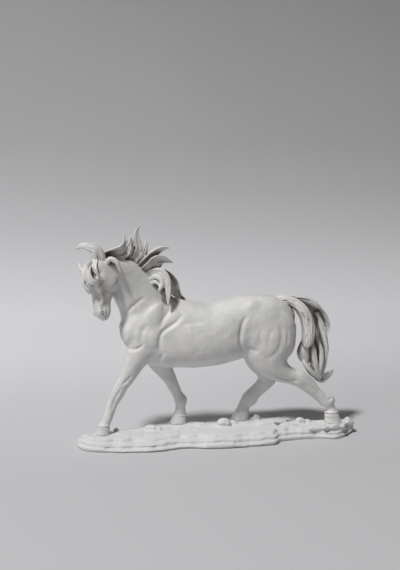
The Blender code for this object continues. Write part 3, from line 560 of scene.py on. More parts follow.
@dataclass(frozen=True)
class Head:
    """The turned head: its places are down the face, out from the axis, and sideways."""

    poll: Row = (-128.0, -15.0, 184.0)
    muzzle: Row = (-121.2, -26.5, 127.0)
    turn: float = math.radians(30.0)
    # Down the face: distance from the poll, half width, forehead and jaw counted from the axis.
    sections: Rows = (
        (-2.0, 8.0, 1.0, -16.0),
        (4.0, 10.5, 7.0, -20.0),
        (12.0, 11.5, 10.5, -21.0),
        (20.0, 11.5, 11.5, -20.0),
        (27.0, 10.0, 10.8, -19.0),
        (34.0, 8.4, 9.6, -15.5),
        (41.0, 7.4, 8.8, -11.2),
        (48.0, 7.2, 8.4, -9.4),
        (53.5, 7.3, 7.6, -8.6),
        (57.5, 6.2, 5.6, -7.2),
        (59.5, 4.6, 3.4, -5.4),
    )
    # Rounded masses on both sides: down, out, sideways, then radii down, out and across.
    masses: Rows = (
        (24.5, 6.4, 9.4, 9.0, 4.8, 4.6),
        (21.0, -10.0, 6.8, 11.0, 10.0, 5.0),
        (35.0, 2.0, 6.0, 12.0, 2.4, 3.0),
        (52.0, 4.4, 5.0, 4.8, 3.6, 2.8),
        (56.5, -4.2, 1.4, 3.4, 3.2, 3.4),
    )
    # Hollows pressed in: down, out, sideways, reach and depth.
    pits: Rows = (
        (55.6, 3.6, 7.6, 1.3, 2.0),
        (53.2, 5.0, 8.2, 1.0, 1.4),
        (49.0, 3.2, 7.6, 2.6, 0.9),
        (14.0, 4.0, 11.5, 4.0, 1.6),
        (30.0, 7.4, 9.0, 3.8, 1.3),
        (45.0, -2.0, 7.6, 5.0, 1.0),
        (22.8, 7.0, 13.6, 3.4, 1.7),
    )
    # Grooves of the side of the face, as down and out: mouth, nostril's rim, cheek's edge, nasal edge.
    lines: tuple[Furrow, ...] = (
        Furrow(1.0, 0.8, ((58.5, 0.6), (55.0, -0.8), (50.5, -1.8), (47.5, -1.6))),
        Furrow(0.7, 0.8, ((51.5, 8.0), (49.8, 5.4), (51.0, 2.8), (54.5, 1.8))),
        Furrow(1.0, 1.5, ((33.0, -16.0), (35.0, -11.0), (34.0, -5.0), (30.0, -1.0))),
        Furrow(0.7, 1.6, ((31.0, 5.6), (38.0, 5.4), (45.0, 5.2))),
    )
    # The eye: down, out and sideways, its ball's radii, and how thick its lids are.
    eye: Row = (23.0, 7.0, 12.3)
    eyeball: Row = (2.7, 2.4, 1.9)
    lid_thickness: float = 0.75
    # The near ear, laid back: x, y, z, half width. The far one mirrors it across the head.
    ear: Rows = (
        (-117.0, -19.5, 181.5, 3.0),
        (-112.0, -23.5, 186.2, 3.0),
        (-107.5, -25.5, 184.4, 2.8),
        (-104.5, -26.0, 178.5, 2.0),
        (-102.5, -25.5, 172.5, 0.8),
    )
    ear_thickness: float = 1.5

    def axes(self) -> tuple[np.ndarray, np.ndarray, np.ndarray, np.ndarray]:
        """The poll, then the directions down the face, forward from it, and across to the near side."""
        poll = np.array(self.poll)
        down = unit(np.array(self.muzzle) - poll)
        ahead = np.array((-math.cos(self.turn), -math.sin(self.turn), 0.0))
        ahead = unit(ahead - down * np.dot(down, ahead))
        return poll, down, ahead, np.cross(ahead, down)

    def place(self, down: float, out: float, sideways: float) -> np.ndarray:
        """A point of the head in the horse's own points."""
        poll, lower, ahead, across = self.axes()
        return poll + lower * down + ahead * out + across * sideways

    def lay(self, clay: Clay) -> None:
        """Lays the head with its masses."""
        poll, down, ahead, across = self.axes()
        rows = []
        for t, half, brow, jaw in self.sections:
            centre = poll + down * t + ahead * (brow + jaw) / 2
            rows.append((*centre, half, (brow - jaw) / 2, 0.0, 2.3))
        clay.loft(tuple(rows), side=tuple(across), step=2.0, around=40, dome=(0.9, 0.6))
        for t, out, sideways, *radii in self.masses:
            for hand in (-1.0, 1.0):
                clay.ball(self.place(t, out, sideways * hand), tuple(radii), self.tilt())

    def tilt(self) -> Matrix:
        """The turn of the head's own axes."""
        _, down, ahead, across = self.axes()
        return Matrix((down, ahead, across)).transposed().to_4x4()

    def lay_features(self, clay: Clay) -> None:
        """Lays the ears and, in each socket, the eyeball between its lids."""
        poll, _, _, across = self.axes()
        near = np.array(self.ear)
        far = near.copy()
        far[:, :3] -= 2.0 * np.outer((near[:, :3] - poll) @ across, across)
        Lock(near, self.ear_thickness, hollow=-0.85).lay(clay, side=tuple(across))
        Lock(far, self.ear_thickness, hollow=0.85).lay(clay, side=tuple(across))
        t, out, sideways = self.eye
        for hand in (-1.0, 1.0):
            clay.ball(self.place(t, out, (sideways - 0.9) * hand), self.eyeball, self.tilt())
            for rise, drop in ((2.3, 0.5), (-2.1, 0.9)):
                arc = []
                for angle in np.linspace(-1.0, 1.0, 7):
                    lift = rise * math.cos(angle * 1.4)
                    aside = (sideways + 0.5 - drop * abs(angle)) * hand
                    spot = self.place(t + 3.3 * angle, out + lift, aside)
                    arc.append((*spot, self.lid_thickness, self.lid_thickness * 0.8))
                clay.loft(tuple(arc), side=tuple(across), step=0.8, around=12)

    def press(self, points: np.ndarray, outward: np.ndarray) -> np.ndarray:
        """How far the hollows and grooves of the face lower each point."""
        lowered = np.zeros(len(points))
        for t, out, sideways, reach, depth in self.pits:
            for hand in (-1.0, 1.0):
                away = np.linalg.norm(points - self.place(t, out, sideways * hand), axis=1)
                lowered += depth * np.exp(-((away / reach) ** 2))
        poll, down, ahead, across = self.axes()
        basis = np.stack((down, across, ahead), axis=1)
        own = (points - poll) @ basis
        close = (own[:, 0] > 0) & (np.abs(own[:, 1]) < 16) & (np.abs(own[:, 2]) < 24)
        for line in self.lines:
            marks = line.lowering(own[close], (outward @ basis)[close])
            lowered[close] += marks
        return lowered


@dataclass(frozen=True)
class Lock:
    """A lock of hair: its run of x, y, z and half width, then how it is shaped across."""

    run: Rows | np.ndarray
    thick: float
    tilt: float = 0.0
    turn: float = 20.0
    hollow: float = 0.0
    grooves: int = 0

    def rings(self, side: Row, step: float) -> list[tuple[np.ndarray, ...]]:
        """The lock's stations.

        Args:
            side: the direction that its broad face looks to before it tilts.
            step: about how far apart they are.

        Returns:
            For each, the row, the direction of its thickness and that of its width.
        """
        rows = carried(self.run, step)
        along = np.gradient(rows[:, :3], axis=0)
        found = []
        for i, (row, ahead) in enumerate(zip(rows, along)):
            ahead = unit(ahead)
            flat = unit(np.asarray(side) - ahead * np.dot(ahead, side))
            broad = np.cross(ahead, flat)
            angle = math.radians(self.tilt + self.turn * (i / (len(rows) - 1) - 0.4))
            thin = flat * math.cos(angle) + broad * math.sin(angle)
            found.append((row, thin, broad * math.cos(angle) - flat * math.sin(angle)))
        return found

    def depth(self, half: float) -> float:
        """Half the lock's thickness where it is this wide."""
        widest = max(row[3] for row in self.run)
        return min(self.thick * math.sqrt(half / widest), half)

    def lay(self, clay: Clay, side: Row = (0.0, 1.0, 0.0), around: int = 44, step: float = 1.4) -> None:
        """Lays the lock, with its grooves along it."""
        turns = np.linspace(0.0, math.tau, around, endpoint=False)
        rings = []
        for row, thin, wide in self.rings(side, step):
            half = max(row[3], 0.6)
            depth = self.depth(half)
            bend = self.hollow * half * (np.cos(turns) ** 2 - 0.5)
            ridge = 1.0
            if self.grooves:
                ridge = 0.88 + 0.20 * np.cos(np.pi * self.grooves * np.cos(turns) + 0.6)
            outline = (np.cos(turns) * half)[:, None] * wide
            rings.append(row[:3] + outline + (np.sin(turns) * depth * ridge + bend)[:, None] * thin)
        clay.skin(rings)

    def strands(self, count: int) -> list[np.ndarray]:
        """Paths of fine strands that lie along both broad faces of the lock."""
        stations = self.rings((0.0, 1.0, 0.0), 1.6)
        paths = []
        for face in (-1.0, 1.0):
            for k in range(count):
                share = (k + 0.5) / count * 1.5 - 0.75
                path = []
                for i, (row, thin, wide) in enumerate(stations):
                    if not 0.06 < i / len(stations) < 0.92:
                        continue
                    half = max(row[3], 0.6)
                    sway = share + 0.10 * math.sin(i * 0.35 + 2.1 * k + face)
                    rise = self.depth(half) * math.sqrt(max(1.0 - sway**2, 0.0)) * 0.95 * face
                    bend = self.hollow * half * (sway**2 - 0.5)
                    path.append(row[:3] + wide * half * sway + thin * (rise + bend))
                if len(path) > 3:
                    paths.append(np.array(path))
        return paths


@dataclass(frozen=True)
class Hair:
    """The mane, the forelock and the tail."""

    strand_radius: float = 0.75
    # From the poll back: the front fan of four, the upright wisp, two swept back, then those on the neck.
    mane: tuple[Lock, ...] = (
        Lock(
            (
                (-119, -10, 182, 4.0), (-115.5, -14, 188.5, 6.4), (-108, -16, 191, 8.2),
                (-100, -15, 194, 8.2), (-95.5, -12, 200.5, 5.2), (-97, -10, 208, 2.2),
                (-98.6, -8, 212, 0.7),
            ),
            2.3, 26, 8, -0.85, 2,
        ),
        Lock(
            (
                (-112, -5, 181, 5.0), (-104, -8, 185, 7.0), (-95, -9, 191.5, 7.2),
                (-90.0, -9, 200, 4.6), (-90.5, -8, 208, 2.2), (-92, -7, 211.5, 0.7),
            ),
            2.2, 20, 8, -0.75, 3,
        ),
        Lock(
            (
                (-104, -4, 177, 6.0), (-96, -6, 181, 8.0), (-89, -8, 188, 7.4), (-85, -8, 198, 4.6),
                (-86.5, -8, 204, 2.2), (-89, -7, 208, 0.8),
            ),
            2.2, 15, 8, -0.7, 3,
        ),
        Lock(
            (
                (-94, -3, 174, 5.0), (-86.5, -6, 184, 5.4), (-83.0, -9, 195, 4.4),
                (-84.8, -9, 205, 3.8), (-84.8, -8, 212.5, 2.3), (-81.4, -6, 218, 0.7),
            ),
            2.0, 20, hollow=-0.6, grooves=1,
        ),
        Lock(
            (
                (-81, -5, 177, 4.6), (-79, -7, 186, 4.4), (-75.8, -6, 194, 3.0), (-74.6, -5, 200, 1.8),
                (-75.2, -4, 203.5, 0.7),
            ),
            2.0, 15, hollow=-0.5, grooves=1,
        ),
        Lock(
            (
                (-82, -7, 176, 3.6), (-73.5, -9, 184, 4.8), (-65, -10, 191.5, 4.4),
                (-57.5, -9.5, 195, 2.8), (-51, -8, 195, 0.9),
            ),
            2.0, 28, 20, -0.6, 2,
        ),
        Lock(
            (
                (-80, -7, 171, 3.6), (-72, -11, 177, 6.0), (-65, -13, 183, 7.0), (-59, -12, 184, 5.4),
                (-53, -10, 182, 2.8), (-47, -8, 180, 0.8),
            ),
            2.1, 24, 20, -0.8, 2,
        ),
        Lock(
            (
                (-77, -5, 167, 3.3), (-69, -8, 172, 3.2), (-62, -9, 177, 2.8), (-58, -9, 180, 1.4),
            ),
            2.4,
        ),
        Lock(
            (
                (-76, -6, 165, 3.4), (-69, -11, 170, 4.0), (-62, -14, 171.5, 4.0), (-56, -16, 167, 4.0),
                (-53.5, -17, 158, 3.6), (-53, -18, 148, 2.8), (-53.5, -19, 137, 0.8),
            ),
            2.0, 10, hollow=-0.3, grooves=2,
        ),
        Lock(
            (
                (-64, -8, 171, 4.0), (-55, -9, 168, 5.4), (-48, -7, 160, 7.0), (-44, -4, 150, 6.2),
                (-38.5, -1.5, 143, 3.0), (-33, -1, 140, 0.8),
            ),
            2.4, 22, 20, -0.9, 2,
        ),
        Lock(
            (
                (-72, -9, 162, 2.2), (-65, -14, 166, 2.8), (-60, -16.5, 163, 2.6),
                (-59.5, -17.5, 157, 2.2), (-62.5, -17, 152, 1.6), (-61.5, -16, 149, 0.7),
            ),
            1.8,
        ),
        Lock(
            (
                (-72, -9, 158, 1.8), (-64.5, -14, 160, 2.2), (-61.5, -15.5, 156, 1.7),
                (-63.5, -15.5, 151, 0.7),
            ),
            1.8,
        ),
    )
    # The great lock blown forward, the curl over the eye, the lock inside it and two beyond the brow.
    forelock: tuple[Lock, ...] = (
        Lock(
            (
                (-123, -16, 175, 5.5), (-124, -20, 187, 7.1), (-128, -21, 196, 6.0),
                (-135, -20, 199, 4.1), (-142, -18, 199.5, 2.9), (-147, -16, 196, 0.9),
            ),
            3.6, 10, hollow=-0.2, grooves=3,
        ),
        Lock(
            (
                (-131, -24, 184, 1.6), (-135.5, -28, 180.5, 3.6), (-137.5, -33, 174.5, 4.6),
                (-135.6, -35.5, 168.5, 4.4), (-131, -36.5, 165, 3.2), (-125.5, -36, 164, 2.2),
                (-121.5, -34.5, 167, 0.8),
            ),
            2.2, hollow=-0.3, grooves=2,
        ),
        Lock(
            (
                (-128, -21, 187, 3.0), (-129.5, -27, 179, 3.6), (-126.5, -31, 172, 2.8),
                (-121.5, -32, 166, 0.9),
            ),
            1.9, 30, hollow=-0.5, grooves=1,
        ),
        Lock(
            (
                (-131, -17, 179, 3.3), (-139, -17, 173, 3.3), (-142.5, -15, 176, 2.2),
                (-144.5, -13, 182, 0.7),
            ),
            2.0, hollow=-0.3, grooves=1,
        ),
        Lock(
            (
                (-139, -31, 170, 2.2), (-140, -32, 162, 2.2), (-136, -33, 157, 1.7),
                (-132, -32, 153, 0.7),
            ),
            1.8,
        ),
    )
    # The near lock, the two over it, the sheet behind, the hanging strands, the roll and the tip.
    tail: tuple[Lock, ...] = (
        Lock(
            (
                (58, 0, 133, 4.8), (69, -2, 136.2, 4.8), (79, -4, 136.2, 5.0), (88, -7, 131.6, 5.8),
                (96, -10, 122, 6.8), (100.3, -11, 109, 7.2), (100.6, -12, 97, 7.0),
                (99.4, -12.5, 90, 6.0), (97.5, -12, 85, 3.0),
            ),
            4.0, turn=30, hollow=0.1, grooves=4,
        ),
        Lock(
            (
                (61, 2, 135, 4.4), (78, 2, 136.2, 4.6), (92, 1, 136.6, 4.8), (103, -1, 134, 4.2),
                (111, -2, 130, 3.2), (118, -3, 125, 0.9),
            ),
            3.6, 15, 10, -0.2, 2,
        ),
        Lock(
            (
                (100, 4, 132, 4.2), (110, 5, 128, 5.0), (119, 5, 120, 5.4), (125, 4, 111, 4.4),
                (128, 3, 103, 2.4), (126.5, 2, 96.5, 0.9),
            ),
            2.2, 30, 20, -0.7, 2,
        ),
        Lock(
            (
                (99, 5, 127, 5.5), (110, 7, 117, 8.0), (115.5, 8, 101, 8.6), (116.5, 7, 84, 8.0),
                (114.5, 4, 69, 6.8), (114, 0, 56, 5.6), (118, 0, 47, 2.8),
            ),
            2.4, turn=10, hollow=-0.3, grooves=5,
        ),
        Lock(
            (
                (116, 4, 119, 1.2), (118.5, 3, 107, 2.0), (121.5, 1, 96, 2.6), (124.5, -1, 82, 3.2),
                (123.8, -1.5, 70, 3.0), (121.0, -2, 58, 3.0), (119.5, -3, 49, 1.6),
            ),
            2.4, turn=30, grooves=1,
        ),
        Lock(
            (
                (106, -6, 94, 1.4), (107, -9, 85, 2.8), (109, -9, 70, 3.8), (112, -8, 57, 3.6),
                (117.5, -7, 48, 1.6),
            ),
            2.4, turn=30, grooves=1,
        ),
        Lock(
            (
                (113, -3, 94, 1.4), (117, -6, 79, 3.0), (117, -7, 66, 3.2), (116.5, -6, 54, 2.4),
                (118, -5, 47, 1.0),
            ),
            2.2, turn=20, grooves=1,
        ),
        Lock(
            (
                (114, 3, 121, 2.2), (120, 3, 109, 2.8), (123.5, 3, 96, 2.8), (125.6, 2, 83, 2.8),
                (125, 1, 72, 2.6), (123, 0, 62, 2.4), (121, -1, 54, 2.2), (122, -2, 47, 1.4),
            ),
            2.2, turn=30, grooves=1,
        ),
        Lock(
            (
                (101, -4, 92, 4.5), (98.5, -6, 85, 6.2), (96.8, -7, 78, 7.0), (98.8, -6.5, 71.5, 6.0),
                (103, -6, 66, 2.2),
            ),
            5.0, 10, 0, 0.1,
        ),
        Lock(
            (
                (95, -8, 73, 1.6), (97.5, -11, 67, 2.8), (102, -12, 60, 3.2), (108, -10.5, 53.5, 3.0),
                (113.5, -8, 48.5, 1.8), (119, -5, 44, 0.8),
            ),
            2.2, turn=30, grooves=1,
        ),
        Lock(
            (
                (104, -5, 83, 3.0), (107.5, -7, 74, 3.4), (109, -7, 63, 3.2), (110, -7, 53, 2.8),
                (117, -6, 44.5, 1.7), (124, -4, 43, 0.9),
            ),
            2.4, turn=30, grooves=1,
        ),
        Lock(
            (
                (114, 1, 60, 3.0), (117.5, 0, 51.5, 4.0), (123, 0, 47.5, 4.4), (129.0, 0, 50.5, 3.4),
                (132.6, -1, 56.5, 1.6),
            ),
            2.8, 10, 0, -0.5,
        ),
    )

    def locks(self) -> tuple[Lock, ...]:
        """Every lock."""
        return self.mane + self.forelock + self.tail

    def lay(self, clay: Clay) -> None:
        """Lays the locks and the fine strands on them."""
        for lock in self.locks():
            lock.lay(clay)
        clay.take(self.spin_strands())

    def spin_strands(self) -> bpy.types.Object:
        """Fine rounded strands along every lock that has grooves, from Geometry Nodes.

        Returns:
            One object of closed tubes, in points.
        """
        curve = bpy.data.curves.new("strands", "CURVE")
        curve.dimensions = "3D"
        for lock in self.locks():
            for path in lock.strands(2 + lock.grooves) if lock.grooves else []:
                spline = curve.splines.new("POLY")
                spline.points.add(len(path) - 1)
                spline.points.foreach_set("co", np.column_stack((path, np.ones(len(path)))).reshape(-1))
        made = bpy.data.objects.new("strands", curve)
        bpy.context.scene.collection.objects.link(made)
        tree = bpy.data.node_groups.new("spun strands", "GeometryNodeTree")
        nodes = Wiring(tree)
        nodes.socket("Geometry", "Geometry")
        radius = nodes.socket("Radius", "Float")
        sides = nodes.socket("Sides", "Int")
        coat = nodes.socket("Coat", "Material")
        nodes.socket("Geometry", "Geometry", output=True)
        entry = nodes.add("NodeGroupInput").outputs
        along = nodes.add("GeometryNodeSplineParameter").outputs["Factor"]
        taper = nodes.sum("POWER", nodes.sum("SINE", nodes.sum("MULTIPLY", along, math.pi)), 0.5)
        thick = nodes.sum("MAXIMUM", nodes.sum("MULTIPLY", taper, entry["Radius"]), 0.05)
        sized = nodes.add("GeometryNodeSetCurveRadius", {"Curve": entry["Geometry"], "Radius": thick})
        profile = nodes.add("GeometryNodeCurvePrimitiveCircle", {"Resolution": entry["Sides"], "Radius": 1.0})
        tube = nodes.add(
            "GeometryNodeCurveToMesh",
            {"Curve": sized.outputs[0], "Profile Curve": profile.outputs["Curve"], "Fill Caps": True},
        )
        nodes.tree.links.new(thick, tube.inputs["Scale"])
        real = nodes.add("GeometryNodeRealizeInstances", {0: tube.outputs[0]})
        dressed = nodes.add("GeometryNodeSetMaterial", {0: real.outputs[0], "Material": entry["Coat"]})
        nodes.add("NodeGroupOutput", {0: dressed.outputs[0]})
        modifier = made.modifiers.new("strands", "NODES")
        modifier.node_group = tree
        modifier[radius] = self.strand_radius
        modifier[sides] = 8
        modifier[coat] = None
        bpy.context.view_layer.update()
        graph = bpy.context.evaluated_depsgraph_get()
        spun = bpy.data.meshes.new_from_object(made.evaluated_get(graph), depsgraph=graph)
        bpy.data.objects.remove(made)
        result = bpy.data.objects.new("strands", spun)
        bpy.context.scene.collection.objects.link(result)
        return result


@dataclass
class Horse:
    """The whole horse, cast in one with its hair."""

    form_grain: float = 0.75
    detail_grain: float = 0.45
    triangles: int = 190_000
    skin_swell: float = 0.16
    crease_rounds: int = 44
    form_rounds: int = 10
    skin_rounds: int = 3
    hollow_curve: float = 0.0016
    shelter_reach: float = 0.026
    trunk: Trunk = field(default_factory=Trunk)
    head: Head = field(default_factory=Head)
    hair: Hair = field(default_factory=Hair)
    legs: tuple[Leg, ...] = (
        Leg(
            (
                (-74.0, -11.0, 104.0, 12.0, 23.0), (-79.0, -12.0, 92.0, 11.5, 18.5),
                (-85.0, -13.0, 82.0, 9.8, 13.2), (-89.5, -13.3, 73.5, 8.6, 10.6),
                (-93.3, -13.4, 65.5, 7.4, 9.0), (-97.5, -13.5, 58.0, 6.3, 7.6),
                (-102.0, -13.5, 52.0, 6.0, 7.1), (-105.2, -13.5, 46.0, 6.3, 6.9),
                (-108.5, -13.5, 39.5, 5.6, 6.5), (-111.5, -13.6, 33.7, 4.7, 5.9),
                (-114.2, -13.7, 27.5, 4.2, 5.3), (-116.2, -13.8, 21.0, 4.2, 5.0),
                (-117.8, -13.9, 16.5, 4.9, 5.0), (-119.5, -14.0, 12.5, 4.6, 4.8),
                (-121.5, -14.0, 8.5, 5.4, 5.8),
            ),
            (-121.8, -14.0, 9.6, 5.9, 6.2, -123.0, -14.0, 7.0, 7.2),
        ),
        Leg(
            (
                (-70.0, 11.0, 98.0, 12.0, 20.0), (-65.0, 12.0, 84.0, 11.0, 17.0),
                (-58.0, 12.0, 67.5, 9.0, 12.3), (-51.8, 12.0, 56.0, 7.0, 8.6),
                (-48.2, 11.8, 50.0, 6.2, 7.1), (-46.0, 11.6, 45.0, 6.2, 6.6),
                (-43.0, 11.5, 38.5, 5.3, 6.0), (-39.8, 11.4, 31.5, 4.6, 5.7),
                (-36.2, 11.3, 25.0, 5.4, 7.2), (-36.9, 11.2, 18.5, 4.8, 5.3),
                (-37.0, 11.1, 13.0, 5.2, 5.9), (-37.6, 11.0, 8.5, 6.2, 6.8),
            ),
            (-37.5, 11.0, 8.6, 6.2, 6.9, -39.5, 11.0, 7.6, 9.3),
            ((-0.05, 0.4), (0.45, 0.1)),
        ),
        Leg(
            (
                (57.0, -12.0, 112.0, 14.5, 29.5), (56.5, -13.0, 100.0, 15.5, 30.0),
                (56.5, -14.0, 84.0, 14.0, 27.0), (60.0, -14.0, 71.0, 12.0, 20.5),
                (66.0, -14.0, 62.7, 10.0, 14.5), (73.5, -14.0, 57.3, 8.0, 10.8),
                (82.5, -14.0, 53.3, 6.6, 8.8), (92.5, -14.0, 49.5, 6.6, 9.6),
                (101.0, -14.0, 42.5, 5.8, 8.4), (110.0, -14.0, 33.8, 5.0, 6.4),
                (117.5, -14.0, 27.0, 5.2, 6.6), (124.0, -14.0, 22.8, 6.3, 8.2),
                (126.6, -14.0, 17.2, 4.6, 5.0), (128.0, -14.0, 11.5, 6.2, 6.6),
            ),
            (128.0, -14.0, 10.8, 6.8, 7.3, 130.0, -14.0, 8.2, 9.0),
            ((-0.10, 0.5), (0.28, 0.25)),
        ),
        Leg(
            (
                (56.0, 12.0, 112.0, 14.5, 28.0), (54.0, 13.0, 98.0, 15.0, 27.0),
                (52.5, 13.5, 80.0, 13.0, 22.0), (54.0, 13.5, 66.0, 10.5, 16.0),
                (59.0, 13.0, 57.0, 8.0, 12.6), (63.0, 13.0, 49.0, 6.8, 11.4),
                (58.0, 12.8, 40.0, 5.8, 9.0), (52.0, 12.6, 34.2, 5.2, 7.8),
                (46.5, 12.5, 29.3, 5.2, 7.8), (41.0, 12.5, 22.5, 6.0, 8.6),
                (36.0, 12.4, 16.3, 5.2, 6.6), (33.4, 12.3, 9.5, 6.6, 7.4),
            ),
            (33.0, 12.3, 9.4, 6.6, 7.6, 30.6, 12.3, 7.8, 9.7),
        ),
    )
    # Grooves of the side view, as x and z: between the muscles, then along the tendons.
    furrows: tuple[Furrow, ...] = (
        Furrow(1.2, 1.9, ((-99, 124), (-93, 132), (-86, 139), (-77, 145))),
        Furrow(1.2, 2.2, ((-49, 134), (-54, 127), (-59, 121), (-62, 113))),
        Furrow(1.8, 2.2, ((-38, 126), (-46, 118), (-54, 113), (-61, 107), (-63, 100), (-63, 93), (-61, 86))),
        Furrow(1.3, 3.0, ((-74, 117), (-80, 111), (-82, 104), (-84, 96))),
        Furrow(1.3, 1.8, ((-98, 91), (-90, 91), (-83, 94), (-79, 98))),
        Furrow(0.7, 2.2, ((-42, 114), (-32, 117), (-21, 118), (-12, 119))),
        Furrow(2.0, 2.4, ((30, 124), (25, 117), (23, 109), (22, 101), (23, 93), (28, 84))),
        Furrow(1.0, 2.8, ((66, 116), (67, 104), (66, 94), (63, 86), (57, 80), (49, 76))),
        Furrow(0.6, 2.4, ((57, 110), (53, 101), (51, 91))),
        Furrow(1.1, 2.2, ((30, 89), (36, 87), (41, 83))),
        Furrow(1.4, 1.8, ((62, 57), (74, 52), (88, 49)), Hand.NEAR),
        Furrow(1.0, 1.6, ((78, 62), (90, 57)), Hand.NEAR),
        Furrow(1.1, 1.6, ((-92, 64), (-98, 57), (-104, 52)), Hand.NEAR),
        Furrow(1.1, 1.4, ((-103, 50), (-108, 42), (-112, 33), (-114, 26)), Hand.NEAR),
        Furrow(1.4, 2.4, ((-58, 88), (-63, 80), (-68, 74))),
        Furrow(0.5, 2.0, ((46, 94), (43, 101), (44, 109))),
        Furrow(0.5, 1.8, ((72, 112), (74, 102), (73, 92))),
        Furrow(1.2, 1.2, ((122, 26), (124.5, 27.5), (127, 27)), Hand.NEAR),
        Furrow(0.6, 1.2, ((-106, 60), (-101, 56), (-97, 60)), Hand.NEAR),
        Furrow(0.7, 1.2, ((96, 54), (102, 48), (108, 40), (114, 33)), Hand.NEAR),
        Furrow(0.8, 1.1, ((-49, 48), (-45, 40), (-41, 32)), Hand.FAR),
        Furrow(0.8, 1.1, ((62, 47), (56, 38), (50, 32)), Hand.FAR),
    )

    def build(self, sole: float, point: float) -> Cast:
        """Makes the horse's skin in the frame's metres.

        Args:
            sole: the height that its soles stand at.
            point: metres in one of the horse's points.

        Returns:
            The finished skin.
        """
        clay = Clay()
        self.trunk.lay(clay)
        for leg in self.legs:
            leg.lay(clay)
        self.head.lay(clay)
        form = Cast(clay.harden("horse_figure"))
        form.fuse(self.form_grain)
        form.fill_creases(self.crease_rounds)
        form.relax(self.form_rounds)
        LOG.info("horse form fused, %d faces", len(form.made.data.polygons))
        clay = Clay()
        clay.take(form.made)
        self.hair.lay(clay)
        self.head.lay_features(clay)
        for leg in self.legs:
            leg.lay_hoof(clay)
        skin = Cast(clay.harden("horse_figure"))
        skin.fuse(self.detail_grain)
        skin.relax(self.skin_rounds)
        self.carve(skin)
        skin.thin_out(self.triangles)
        skin.cut_level(0.0)
        points, _, _ = skin.read()
        points = points * point
        points[:, 2] += sole
        skin.write(points)
        skin.note_hollows(self.hollow_curve)
        skin.note_shelter(self.shelter_reach)
        LOG.info("horse skin finished, %d triangles", len(skin.made.data.polygons))
        return skin

    def carve(self, skin: Cast) -> None:
        """Presses the furrows and the face in, and leaves the skin as uneven as a hand leaves it."""
        points, _, faces = skin.read()
        outward = skin.normals(points, faces)
        lowered = self.head.press(points, outward)
        for furrow in self.furrows:
            lowered += furrow.lowering(points, outward)
        lowered += self.skin_swell * (swell(points, 9.0) + 0.5 * swell(points, 3.6, 7.0))
        skin.write(points - outward * lowered[:, None])


